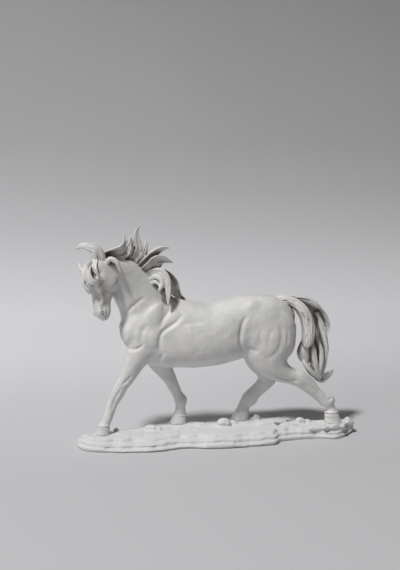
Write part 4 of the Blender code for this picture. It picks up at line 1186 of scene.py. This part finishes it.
@dataclass
class Ground:
    """The rocky slab, in metres, standing on z = 0."""

    grain: float = 0.0006
    triangles: int = 150_000
    skin_rounds: int = 2
    hollow_curve: float = 0.0012
    shelter_reach: float = 0.008
    shelter_looks: int = 6
    spine: float = -0.010
    ragged_edge: float = 0.0015
    surface_drop: float = 0.0009
    pad_radius: float = 0.0125
    grit_size: tuple[float, float] = (0.0005, 0.0011)
    grit_density: float = 600.0
    plate_size: float = 0.032
    plate_stretch: float = 0.32
    plate_steps: float = 1.3
    plate_drop: float = 0.0006
    # The edge at its foot, as x and y round from the left tip along the near side.
    edge: Rows = (
        (-0.151, -0.017), (-0.147, -0.026), (-0.137, -0.034), (-0.122, -0.040), (-0.104, -0.044),
        (-0.084, -0.046), (-0.064, -0.0455), (-0.048, -0.0425), (-0.038, -0.0415), (-0.027, -0.0425),
        (-0.012, -0.0465), (0.010, -0.048), (0.030, -0.0478), (0.046, -0.0462), (0.059, -0.043),
        (0.0635, -0.037), (0.072, -0.0345), (0.090, -0.0335), (0.108, -0.034), (0.123, -0.0375),
        (0.134, -0.0345), (0.143, -0.027), (0.153, -0.015), (0.154, -0.008), (0.147, -0.002),
        (0.134, 0.000), (0.119, 0.001), (0.103, 0.004), (0.087, 0.010), (0.071, 0.015),
        (0.055, 0.019), (0.040, 0.0225), (0.024, 0.0235), (0.008, 0.020), (-0.008, 0.018),
        (-0.022, 0.020), (-0.037, 0.0225), (-0.051, 0.021), (-0.064, 0.015), (-0.078, 0.008),
        (-0.092, 0.001), (-0.106, -0.003), (-0.120, -0.004), (-0.134, -0.006), (-0.145, -0.010),
    )
    # Its beds from the foot up: share of the thickness, near and far step-in, and how ragged.
    beds: Rows = (
        (-0.25, 0.0026, 0.0026, 0.2),
        (0.00, 0.0022, 0.0022, 0.3),
        (0.07, 0.0014, 0.0014, 0.3),
        (0.12, 0.0000, 0.0000, 0.4),
        (0.26, 0.0001, 0.0002, 0.5),
        (0.32, 0.0012, 0.0006, 0.5),
        (0.35, 0.0052, 0.0008, 0.7),
        (0.40, 0.0062, 0.0009, 0.8),
        (0.45, 0.0046, 0.0006, 0.9),
        (0.61, 0.0054, 0.0008, 0.9),
        (0.66, 0.0070, 0.0012, 1.0),
        (0.69, 0.0124, 0.0020, 1.0),
        (0.75, 0.0124, 0.0022, 1.1),
        (0.86, 0.0134, 0.0026, 1.0),
        (0.96, 0.0165, 0.0040, 0.7),
        (1.00, 0.0205, 0.0070, 0.4),
    )
    # Stones and ledges: x, y, z of the middle, half length, half width, half height, turn in degrees.
    stones: Rows = (
        (0.009, -0.004, 0.0150, 0.0078, 0.0058, 0.0050, 15.0),
        (0.020, 0.001, 0.0128, 0.0060, 0.0050, 0.0030, -20.0),
        (0.047, 0.009, 0.0142, 0.0062, 0.0042, 0.0040, -20.0),
        (0.094, -0.008, 0.0140, 0.0056, 0.0045, 0.0042, 10.0),
        (0.101, -0.007, 0.0126, 0.0064, 0.0042, 0.0026, 0.0),
        (-0.071, -0.007, 0.0132, 0.0074, 0.0045, 0.0032, 10.0),
        (-0.063, -0.009, 0.0124, 0.0040, 0.0034, 0.0028, -25.0),
        (-0.109, -0.006, 0.0120, 0.0034, 0.0026, 0.0026, 30.0),
        (0.062, -0.004, 0.0124, 0.0200, 0.0060, 0.0030, 12.0),
        (0.078, 0.003, 0.0124, 0.0170, 0.0050, 0.0030, 4.0),
        (0.082, -0.012, 0.0116, 0.0140, 0.0050, 0.0022, 6.0),
        (0.132, -0.028, 0.0118, 0.0120, 0.0040, 0.0040, 22.0),
        (0.145, -0.016, 0.0120, 0.0080, 0.0070, 0.0050, 60.0),
        (0.112, -0.027, 0.0100, 0.0170, 0.0050, 0.0032, 4.0),
        (-0.020, 0.004, 0.0112, 0.0120, 0.0070, 0.0022, -8.0),
    )
    # Cracks of the top, as x and y.
    cracks: tuple[Furrow, ...] = (
        Furrow(
            0.0011,
            0.0009,
            ((-0.100, -0.0290), (-0.080, -0.0275), (-0.060, -0.0300), (-0.034, -0.0262), (-0.020, -0.0240)),
        ),
        Furrow(0.0009, 0.0008, ((0.018, -0.0300), (0.031, -0.0285), (0.044, -0.0240), (0.060, -0.0235))),
        Furrow(0.0008, 0.0008, ((0.066, -0.0210), (0.088, -0.0180), (0.108, -0.0195))),
        Furrow(0.0007, 0.0007, ((-0.010, -0.0120), (0.012, -0.0140), (0.030, -0.0110))),
        Furrow(0.0006, 0.0007, ((-0.090, -0.0120), (-0.072, -0.0150), (-0.050, -0.0100))),
        Furrow(0.0008, 0.0008, ((-0.036, 0.0040), (-0.010, 0.0080), (0.014, 0.0120))),
    )

    def rings(self, thickness: float) -> list[np.ndarray]:
        """The slab's outline at each bed."""
        edge = carried(tuple((x, y, 0.0) for x, y in self.edge + self.edge[:1]), 0.0018)[:-1]
        middle = np.clip(edge[:, 0], -0.133, 0.138)
        spine = np.stack([middle, np.full(len(edge), self.spine), np.zeros(len(edge))], axis=1)
        spine[:, 1] -= 0.004 * np.clip((np.abs(middle) - 0.06) / 0.07, 0.0, 1.0)
        inward = spine - edge
        reach = np.linalg.norm(inward, axis=1)
        inward = inward / reach[:, None]
        near = np.clip((spine[:, 1] - edge[:, 1]) / 0.012, 0.0, 1.0)
        low_side = 1.0 - 0.45 * np.clip((np.abs(edge[:, 0] + 0.03) - 0.07) / 0.04, 0.0, 1.0)
        found = []
        for share, near_in, far_in, rough in self.beds:
            where = np.stack([edge[:, 0], edge[:, 1], np.full(len(edge), round(share * 4) * 0.0026)], axis=1)
            wave = swell(where, 0.012) + 0.35 * swell(where, 0.0048, 3.0)
            step_in = near_in * near * low_side + far_in * (1.0 - near) + wave * self.ragged_edge * rough
            ring = edge + inward * np.clip(step_in, -0.001, reach * 0.8)[:, None]
            middle_bed = math.sin(math.pi * min(max(share, 0.0), 1.0))
            ring[:, 2] = share * thickness + 0.0008 * middle_bed * swell(edge, 0.034, 1.0)
            found.append(ring)
        return found

    def scatter_grit(self, under: bpy.types.Object) -> bpy.types.Object:
        """Grit strewn over the upper faces, from Geometry Nodes.

        Args:
            under: the slab that the grit lies on.

        Returns:
            One object of small closed stones.
        """
        tree = bpy.data.node_groups.new("strewn grit", "GeometryNodeTree")
        nodes = Wiring(tree)
        nodes.socket("Geometry", "Geometry")
        density = nodes.socket("Density", "Float")
        small = nodes.socket("Smallest", "Float")
        large = nodes.socket("Largest", "Float")
        seed = nodes.socket("Seed", "Int")
        coat = nodes.socket("Coat", "Material")
        nodes.socket("Geometry", "Geometry", output=True)
        entry = nodes.add("NodeGroupInput").outputs
        facing = nodes.add("GeometryNodeInputNormal").outputs[0]
        up = nodes.add("ShaderNodeSeparateXYZ", {0: facing}).outputs["Z"]
        place = nodes.add("GeometryNodeInputPosition").outputs[0]
        patches = nodes.clouds(place, 1.0 / 45.0, 1.0)
        patchy = nodes.sum("MULTIPLY", entry["Density"], nodes.spread(patches, 0.42, 0.68))
        strewn = nodes.add(
            "GeometryNodeDistributePointsOnFaces",
            {
                "Mesh": entry["Geometry"],
                "Selection": nodes.sum("GREATER_THAN", up, 0.35),
                "Density": patchy,
                "Seed": entry["Seed"],
            },
        )
        grain = nodes.add("GeometryNodeMeshIcoSphere", {"Radius": 1.0, "Subdivisions": 2})
        limits = {"Min": entry["Smallest"], "Max": entry["Largest"], "Seed": entry["Seed"]}
        size = nodes.add("FunctionNodeRandomValue", limits, data_type="FLOAT")
        turns = {0: (0.0, 0.0, 0.0), 1: (6.28, 6.28, 6.28)}
        spin = nodes.add("FunctionNodeRandomValue", turns, data_type="FLOAT_VECTOR")
        squat = nodes.add("ShaderNodeCombineXYZ", {0: 1.0, 1: 0.8, 2: 0.55})
        flattened = {0: squat.outputs[0], 3: size.outputs[1]}
        scaled = nodes.add("ShaderNodeVectorMath", flattened, operation="SCALE")
        laid = nodes.add(
            "GeometryNodeInstanceOnPoints",
            {
                "Points": strewn.outputs["Points"],
                "Instance": grain.outputs["Mesh"],
                "Rotation": spin.outputs[0],
                "Scale": scaled.outputs[0],
            },
        )
        real = nodes.add("GeometryNodeRealizeInstances", {0: laid.outputs[0]})
        dressed = nodes.add("GeometryNodeSetMaterial", {0: real.outputs[0], "Material": entry["Coat"]})
        nodes.add("NodeGroupOutput", {0: dressed.outputs[0]})
        made = bpy.data.objects.new("grit", under.data.copy())
        bpy.context.scene.collection.objects.link(made)
        modifier = made.modifiers.new("grit", "NODES")
        modifier.node_group = tree
        modifier[density] = self.grit_density
        modifier[small] = self.grit_size[0]
        modifier[large] = self.grit_size[1]
        modifier[seed] = 5
        modifier[coat] = None
        Cast(made).settle()
        return made

    def build(self, thickness: float, hooves: Rows) -> Cast:
        """Makes the slab's skin.

        Args:
            thickness: the height of its flat top.
            hooves: x and y of each sole, where the top stays flat.

        Returns:
            The finished skin.
        """
        clay = Clay()
        clay.skin(self.rings(thickness))
        for x, y, z, long, wide, high, turn in self.stones:
            clay.ball((x, y, z), (long, wide, high), Matrix.Rotation(math.radians(turn), 4, "Z"))
            lean = Matrix.Rotation(math.radians(turn + 50.0), 4, "Z") @ Matrix.Rotation(0.35, 4, "Y")
            beside = (x + long * 0.4, y - wide * 0.3, z - high * 0.2)
            clay.ball(beside, (long * 0.6, wide * 0.8, high * 0.7), lean)
        slab = Cast(clay.harden("ground_slab"))
        slab.fuse(self.grain)
        self.weather(slab)
        clay = Clay()
        clay.take(self.scatter_grit(slab.made))
        clay.take(slab.made)
        slab = Cast(clay.harden("ground_slab"))
        slab.fuse(self.grain)
        slab.relax(self.skin_rounds)
        self.level_pads(slab, thickness, hooves)
        slab.thin_out(self.triangles)
        slab.cut_level(0.0)
        slab.note_hollows(self.hollow_curve)
        slab.note_shelter(self.shelter_reach, self.shelter_looks)
        LOG.info("ground finished, %d triangles", len(slab.made.data.polygons))
        return slab

    def weather(self, slab: Cast) -> None:
        """Wears the top into low plates, pits and cracks it, and roughens its sides."""
        points, _, faces = slab.read()
        outward = slab.normals(points, faces)
        drop = 0.45 + 0.45 * swell(points, 0.013) + 0.06 * swell(points, 0.0034)
        lowered = np.clip(drop, -0.1, 1.2) * self.surface_drop * 0.8
        rise = np.clip(outward[:, 2] * 1.6 - 0.5, 0.0, 1.0)
        stretched = points * np.array((self.plate_stretch, 1.0, 1.0))
        plates = swell(stretched, self.plate_size, 9.0) + 0.12 * swell(points, 0.009, 4.0)
        plates = plates * self.plate_steps
        whole = np.floor(plates)
        eased = np.clip((plates - whole - 0.86) / 0.14, 0.0, 1.0)
        lowered += rise * self.plate_drop * (whole + eased * eased * (3.0 - 2.0 * eased))
        upright = np.clip(1.0 - np.abs(outward[:, 2]) * 1.4, 0.0, 1.0)
        leaves = np.sin((points[:, 2] + 0.0014 * swell(points, 0.026, 5.0)) / 0.0027 * math.tau)
        lowered += upright * 0.00016 * leaves
        pits = np.clip(swell(points, 0.0019, 11.0) - 0.8, 0.0, 0.4) / 0.4
        lowered += pits * 0.0005
        turned = points[:, (0, 2, 1)]
        for crack in self.cracks:
            wander = turned.copy()
            wander[:, 2] += 0.0012 * swell(points, 0.006, 2.0)
            lowered += crack.lowering(wander, outward[:, (0, 2, 1)])
        slab.write(points - outward * lowered[:, None])

    def level_pads(self, slab: Cast, thickness: float, hooves: Rows) -> None:
        """Brings the top level under each hoof."""
        points, _, faces = slab.read()
        outward = slab.normals(points, faces)
        for x, y in hooves:
            away = np.hypot(points[:, 0] - x, points[:, 1] - y)
            hold = np.clip((self.pad_radius * 1.35 - away) / (self.pad_radius * 0.35), 0.0, 1.0)
            upper = (points[:, 2] > thickness * 0.6) & (outward[:, 2] > 0.3)
            points[:, 2] = np.where(upper, points[:, 2] + (thickness - points[:, 2]) * hold, points[:, 2])
        slab.write(points)


@dataclass(frozen=True)
class ResinFinish:
    """Unpainted casting resin: pale, matt, mottled, with painted shade in hollows and a painted highlight on
    crests.
    """

    slot: str
    pale: Row = (0.79, 0.785, 0.765, 1.0)
    cool: Row = (0.66, 0.675, 0.665, 1.0)
    warm: Row = (0.70, 0.67, 0.62, 1.0)
    # The hollow colour is painted shade in hollows and also the colour of the resin's small dark specks; the
    # deep colour is painted shade where other skin shelters the surface; the next is a painted highlight on
    # crests.
    hollow: Row = (0.27, 0.235, 0.20, 1.0)
    deep: Row = (0.17, 0.13, 0.105, 1.0)
    crest_highlight: Row = (0.84, 0.84, 0.825, 1.0)
    mottle: float = 0.7
    # How strongly the painted shade in hollows and sheltered places is laid on.
    painted_light: float = 0.85
    specks: float = 0.35
    roughness: float = 0.52
    grain_height: float = 0.00010

    @staticmethod
    def cloudiness() -> bpy.types.NodeTree:
        """The shader group for mottling: soft blotches, fine tone and small dark specks as masks."""
        tree = bpy.data.node_groups.get("resin cloudiness")
        if tree:
            return tree
        tree = bpy.data.node_groups.new("resin cloudiness", "ShaderNodeTree")
        nodes = Wiring(tree)
        nodes.socket("Blotch Size", "Float", value=0.018)
        nodes.socket("Speck Size", "Float", value=0.006)
        for name in ("Blotch", "Tone", "Speck"):
            nodes.socket(name, "Float", output=True)
        entry = nodes.add("NodeGroupInput").outputs
        place = nodes.add("ShaderNodeTexCoord").outputs["Object"]
        wider = nodes.sum("DIVIDE", 1.0, entry["Blotch Size"])
        wide = nodes.add("ShaderNodeVectorMath", {0: place, 3: wider}, operation="SCALE")
        blotch = nodes.spread(nodes.clouds(wide.outputs[0], 1.0, 4.0, 0.6), 0.40, 0.66)
        tone = nodes.clouds(place, 0.0034, 3.0, 0.65)
        closer = nodes.sum("DIVIDE", 1.0, entry["Speck Size"])
        close = nodes.add("ShaderNodeVectorMath", {0: place, 3: closer}, operation="SCALE")
        cell = nodes.add("ShaderNodeTexVoronoi", {"Vector": close.outputs[0], "Scale": 1.0})
        pick = nodes.sum("GREATER_THAN", nodes.clouds(place, 0.011, 0.0), 0.52)
        speck = nodes.sum("MULTIPLY", nodes.spread(cell.outputs["Distance"], 0.13, 0.05), pick)
        nodes.add("NodeGroupOutput", {"Blotch": blotch, "Tone": tone, "Speck": speck})
        return tree

    @staticmethod
    def casting_grain() -> bpy.types.NodeTree:
        """The shader group for the cast surface: a height for the bump and a roughness that varies."""
        tree = bpy.data.node_groups.get("casting grain")
        if tree:
            return tree
        tree = bpy.data.node_groups.new("casting grain", "ShaderNodeTree")
        nodes = Wiring(tree)
        nodes.socket("Roughness", "Float", value=0.5)
        nodes.socket("Pitting", "Float", value=0.3)
        for name in ("Height", "Roughness"):
            nodes.socket(name, "Float", output=True)
        entry = nodes.add("NodeGroupInput").outputs
        place = nodes.add("ShaderNodeTexCoord").outputs["Object"]
        fine = nodes.clouds(place, 0.00045, 2.0, 0.6)
        brushed = nodes.clouds(place, 0.0026, 2.0, 0.5)
        pores = nodes.add("ShaderNodeTexVoronoi", {"Vector": place, "Scale": 620.0, "Randomness": 1.0})
        pore = nodes.sum("MULTIPLY", nodes.spread(pores.outputs["Distance"], 0.30, 0.08), entry["Pitting"])
        height = nodes.sum("ADD", nodes.sum("MULTIPLY", fine, 0.35), brushed)
        rubbed = nodes.clouds(place, 0.012, 2.0)
        uneven = nodes.sum("MULTIPLY", nodes.sum("SUBTRACT", rubbed, 0.5), 0.35)
        rough = nodes.sum("ADD", entry["Roughness"], uneven, clamp=True)
        nodes.add("NodeGroupOutput", {"Height": nodes.sum("SUBTRACT", height, pore), "Roughness": rough})
        return tree

    @staticmethod
    def painted_shading() -> bpy.types.NodeTree:
        """The shader group for painted shade in hollows and sheltered places and a painted highlight on
        crests, as three masks.
        """
        tree = bpy.data.node_groups.get("painted shading")
        if tree:
            return tree
        tree = bpy.data.node_groups.new("painted shading", "ShaderNodeTree")
        nodes = Wiring(tree)
        nodes.socket("Amount", "Float", value=0.7)
        for name in ("Hollow Shade", "Crest Highlight", "Sheltered Shade"):
            nodes.socket(name, "Float", output=True)
        entry = nodes.add("NodeGroupInput").outputs
        place = nodes.add("ShaderNodeTexCoord").outputs["Object"]
        # Painted shade: darker where the skin curves inward and darker still where other skin shelters it.
        depth = nodes.add("ShaderNodeAttribute", attribute_name="hollow").outputs["Fac"]
        breakup = nodes.sum("MULTIPLY", nodes.sum("SUBTRACT", nodes.clouds(place, 0.005, 3.0), 0.5), 0.5)
        broken = nodes.sum("ADD", depth, nodes.sum("MULTIPLY", breakup, nodes.sum("ABSOLUTE", depth)))
        gathered = nodes.sum("MULTIPLY", nodes.spread(broken, 0.04, 0.60), entry["Amount"], clamp=True)
        closed = nodes.add("ShaderNodeAttribute", attribute_name="sheltered").outputs["Fac"]
        closed = nodes.sum("ADD", closed, nodes.sum("MULTIPLY", breakup, 0.25))
        deep = nodes.sum("MULTIPLY", nodes.spread(closed, 0.15, 0.56), entry["Amount"], clamp=True)
        # A painted highlight where the skin curves outward.
        rubbed = nodes.spread(broken, -0.12, -0.8)
        nodes.add("NodeGroupOutput", {"Hollow Shade": gathered, "Crest Highlight": rubbed, "Sheltered Shade": deep})
        return tree

    def material(self) -> bpy.types.Material:
        """The finish as a material."""
        coat = bpy.data.materials.new(self.slot)
        coat.use_nodes = True
        nodes = Wiring(coat.node_tree)
        shader = coat.node_tree.nodes["Principled BSDF"]
        cloud = nodes.add("ShaderNodeGroup", node_tree=self.cloudiness()).outputs
        surface = {"Roughness": self.roughness, "Pitting": self.specks}
        grain = nodes.add("ShaderNodeGroup", surface, node_tree=self.casting_grain()).outputs
        painted_light = nodes.add("ShaderNodeGroup", {"Amount": self.painted_light}, node_tree=self.painted_shading()).outputs
        colour = nodes.blend(nodes.sum("MULTIPLY", cloud["Blotch"], self.mottle), self.pale, self.cool)
        fine = nodes.sum("MULTIPLY", nodes.spread(cloud["Tone"], 0.50, 0.72), self.mottle)
        colour = nodes.blend(fine, colour, self.warm)
        # A painted highlight where the skin curves outward.
        colour = nodes.blend(nodes.sum("MULTIPLY", painted_light["Crest Highlight"], 0.6), colour, self.crest_highlight)
        colour = nodes.blend(nodes.sum("MULTIPLY", cloud["Speck"], self.specks), colour, self.hollow)
        # Painted shade in hollows, then deeper painted shade where other skin shelters the surface.
        colour = nodes.blend(painted_light["Hollow Shade"], colour, self.hollow)
        colour = nodes.blend(painted_light["Sheltered Shade"], colour, self.deep)
        relief = {"Height": grain["Height"], "Distance": self.grain_height, "Strength": 1.0}
        bump = nodes.add("ShaderNodeBump", relief)
        nodes.tree.links.new(colour, shader.inputs["Base Color"])
        nodes.tree.links.new(grain["Roughness"], shader.inputs["Roughness"])
        nodes.tree.links.new(bump.outputs[0], shader.inputs["Normal"])
        shader.inputs["Specular IOR Level"].default_value = 0.42
        return coat

    def dress(self, made: bpy.types.Object) -> None:
        """Puts the finish on a piece and shades it smooth."""
        made.data.materials.clear()
        made.data.materials.append(self.material())
        made.data.polygons.foreach_set("use_smooth", [True] * len(made.data.polygons))
        made.data.polygons.foreach_set("material_index", [0] * len(made.data.polygons))
        made.data.update()


@dataclass(frozen=True)
class Studio:
    """The pale sweep, the light and the camera."""

    pixels_wide: float = 400.0
    pixels_high: float = 570.0
    focal_pixels: float = 800.0
    azimuth: float = math.radians(-9.5)
    elevation: float = math.radians(8.0)
    distance: float = 0.88
    origin_pixel: tuple[float, float] = (215.0, 434.5)
    sensor: float = 36.0
    wall: float = 1.05
    bend: float = 0.9
    height: float = 2.2
    half_width: float = 3.0
    key_direction: Row = (0.37, 0.34, -0.865)
    key_distance: float = 4.0
    key_size: float = 0.5
    key_power: float = 117.0
    front_direction: Row = (0.70, 0.52, -0.50)
    front_distance: float = 2.2
    front_size: float = 1.6
    front_power: float = 5.5
    sky: Row = (1.0, 0.66, 0.50, 1.0)
    sky_strength: float = 0.03
    # The paper's tone along the sweep, painted lighter at the bend that faces the key and darker up the wall
    # where its light falls off: how far back and up in metres, and the tone.
    tones: Rows = (
        (-0.10, 0.60), (0.15, 0.69), (0.35, 0.79), (0.53, 0.79), (0.69, 0.70), (0.86, 0.58),
        (1.02, 0.49), (1.2, 0.42), (1.7, 0.34),
    )

    def camera(self) -> None:
        """Sets the camera so that the origin falls on its pixel at the photograph's angle."""
        a, e = self.azimuth, self.elevation
        back = np.array([math.sin(a) * math.cos(e), -math.cos(a) * math.cos(e), math.sin(e)])
        right = np.array([math.cos(a), math.sin(a), 0.0])
        up = np.cross(back, right)
        u = (self.origin_pixel[0] - self.pixels_wide / 2) / self.focal_pixels
        v = (self.origin_pixel[1] - self.pixels_high / 2) / self.focal_pixels
        data = bpy.data.cameras.new("camera")
        data.sensor_width = self.sensor
        data.lens = self.focal_pixels / self.pixels_high * self.sensor
        data.clip_start = 0.01
        made = bpy.data.objects.new("camera", data)
        bpy.context.scene.collection.objects.link(made)
        place = Matrix((tuple(right), tuple(up), tuple(back))).transposed().to_4x4()
        place.translation = Vector((right * u - up * v - back) * -self.distance)
        made.matrix_world = place
        bpy.context.scene.camera = made

    def sweep(self) -> None:
        """Makes the floor that bends up into a plain wall."""
        profile = [(-1.6, 0.0), (self.wall - self.bend, 0.0)]
        for angle in np.linspace(0.0, math.pi / 2, 13)[1:]:
            back = self.wall - self.bend + self.bend * math.sin(angle)
            profile.append((back, self.bend * (1.0 - math.cos(angle))))
        profile.append((self.wall, self.height))
        mesh = bmesh.new()
        rows = [[mesh.verts.new((x, y, z)) for x in (-self.half_width, self.half_width)] for y, z in profile]
        for low, high in zip(rows, rows[1:]):
            mesh.faces.new((low[0], low[1], high[1], high[0]))
        data = bpy.data.meshes.new("sweep")
        mesh.to_mesh(data)
        mesh.free()
        data.polygons.foreach_set("use_smooth", [True] * len(data.polygons))
        made = bpy.data.objects.new("sweep", data)
        bpy.context.scene.collection.objects.link(made)
        paper = bpy.data.materials.new("sweep paper")
        paper.use_nodes = True
        nodes = Wiring(paper.node_tree)
        place = nodes.add("ShaderNodeTexCoord").outputs["Object"]
        shader = paper.node_tree.nodes["Principled BSDF"]
        parts = nodes.add("ShaderNodeSeparateXYZ", {0: place}).outputs
        # Painted light and shade: the tone painted along the sweep stands in for how the key's light falls on
        # the paper.
        back = nodes.sum("ADD", parts["Y"], parts["Z"])
        first, last = self.tones[0][0], self.tones[-1][0]
        share = nodes.sum("DIVIDE", nodes.sum("SUBTRACT", back, first), last - first)
        shading_ramp = nodes.add("ShaderNodeValToRGB", {"Fac": share})
        for i, (where, tone) in enumerate(self.tones):
            stops = shading_ramp.color_ramp.elements
            stop = stops[i] if i < 2 else stops.new(1.0)
            stop.position = (where - first) / (last - first)
            stop.color = (tone, tone, tone * 1.03, 1.0)
        colour = nodes.blend(nodes.clouds(place, 0.3, 2.0), shading_ramp.outputs[0], (0.64, 0.63, 0.65, 1.0), "MIX")
        colour = nodes.blend(0.85, colour, shading_ramp.outputs[0])
        nodes.tree.links.new(colour, shader.inputs["Base Color"])
        shader.inputs["Roughness"].default_value = 0.9
        data.materials.append(paper)

    def lamp(self, name: str, direction: Row, distance: float, size: float, power: float) -> None:
        """Hangs a round soft lamp.

        Args:
            name: the lamp's name.
            direction: the way its light travels.
            distance: how far it hangs from the figure.
            size: its diameter.
            power: its power in watts.
        """
        toward = Vector(direction).normalized()
        lamp = bpy.data.lights.new(name, "AREA")
        lamp.shape = "DISK"
        lamp.size = size
        lamp.energy = power
        made = bpy.data.objects.new(name, lamp)
        bpy.context.scene.collection.objects.link(made)
        made.location = Vector((0.0, 0.0, 0.08)) - toward * distance
        made.rotation_euler = toward.to_track_quat("-Z", "Y").to_euler()

    def light(self) -> None:
        """Sets a key from the upper left, a wide weak light in front and an even fill."""
        self.lamp("key", self.key_direction, self.key_distance, self.key_size, self.key_power)
        self.lamp("front", self.front_direction, self.front_distance, self.front_size, self.front_power)
        world = bpy.data.worlds.new("fill")
        bpy.context.scene.world = world
        world.use_nodes = True
        world.node_tree.nodes["Background"].inputs[0].default_value = self.sky
        world.node_tree.nodes["Background"].inputs[1].default_value = self.sky_strength

    def set_up(self) -> None:
        """Makes the whole stage, with plain tones."""
        bpy.context.scene.view_settings.view_transform = "Standard"
        self.camera()
        self.sweep()
        self.light()


def hand_in(piece: bpy.types.Object, node: str, finish: ResinFinish) -> None:
    """Dresses a piece and lets it stand for its node.

    Args:
        piece: the finished piece.
        node: the node of the frame that it stands for.
        finish: its finish, named for its slot.
    """
    finish.dress(piece)
    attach(piece, "root")
    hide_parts(node)
    LOG.info("%s stands for %s", piece.name, node)


def main() -> None:
    """Builds both pieces, dresses them and sets the stage."""
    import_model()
    sole, crown = (corner.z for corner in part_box("horse"))
    point = (crown - sole) / FIGURE_POINTS
    touch_gap = 0.0003
    horse = Horse()
    hooves = tuple((leg.hoof[5] * point, leg.hoof[6] * point) for leg in horse.legs)
    figure = horse.build(sole, point)
    slab = Ground().build(sole - touch_gap, hooves)
    hand_in(figure.made, "horse", ResinFinish("horse_cast"))
    hand_in(
        slab.made,
        "base",
        ResinFinish(
            "base_cast",
            pale=(0.74, 0.745, 0.75, 1.0),
            mottle=0.35,
            painted_light=0.5,
            specks=0.6,
            roughness=0.62,
            grain_height=0.00018,
        ),
    )
    Studio().set_up()


if __name__ == "__main__":
    logging.basicConfig(level=logging.INFO, format="%(name)s: %(message)s")
    main()
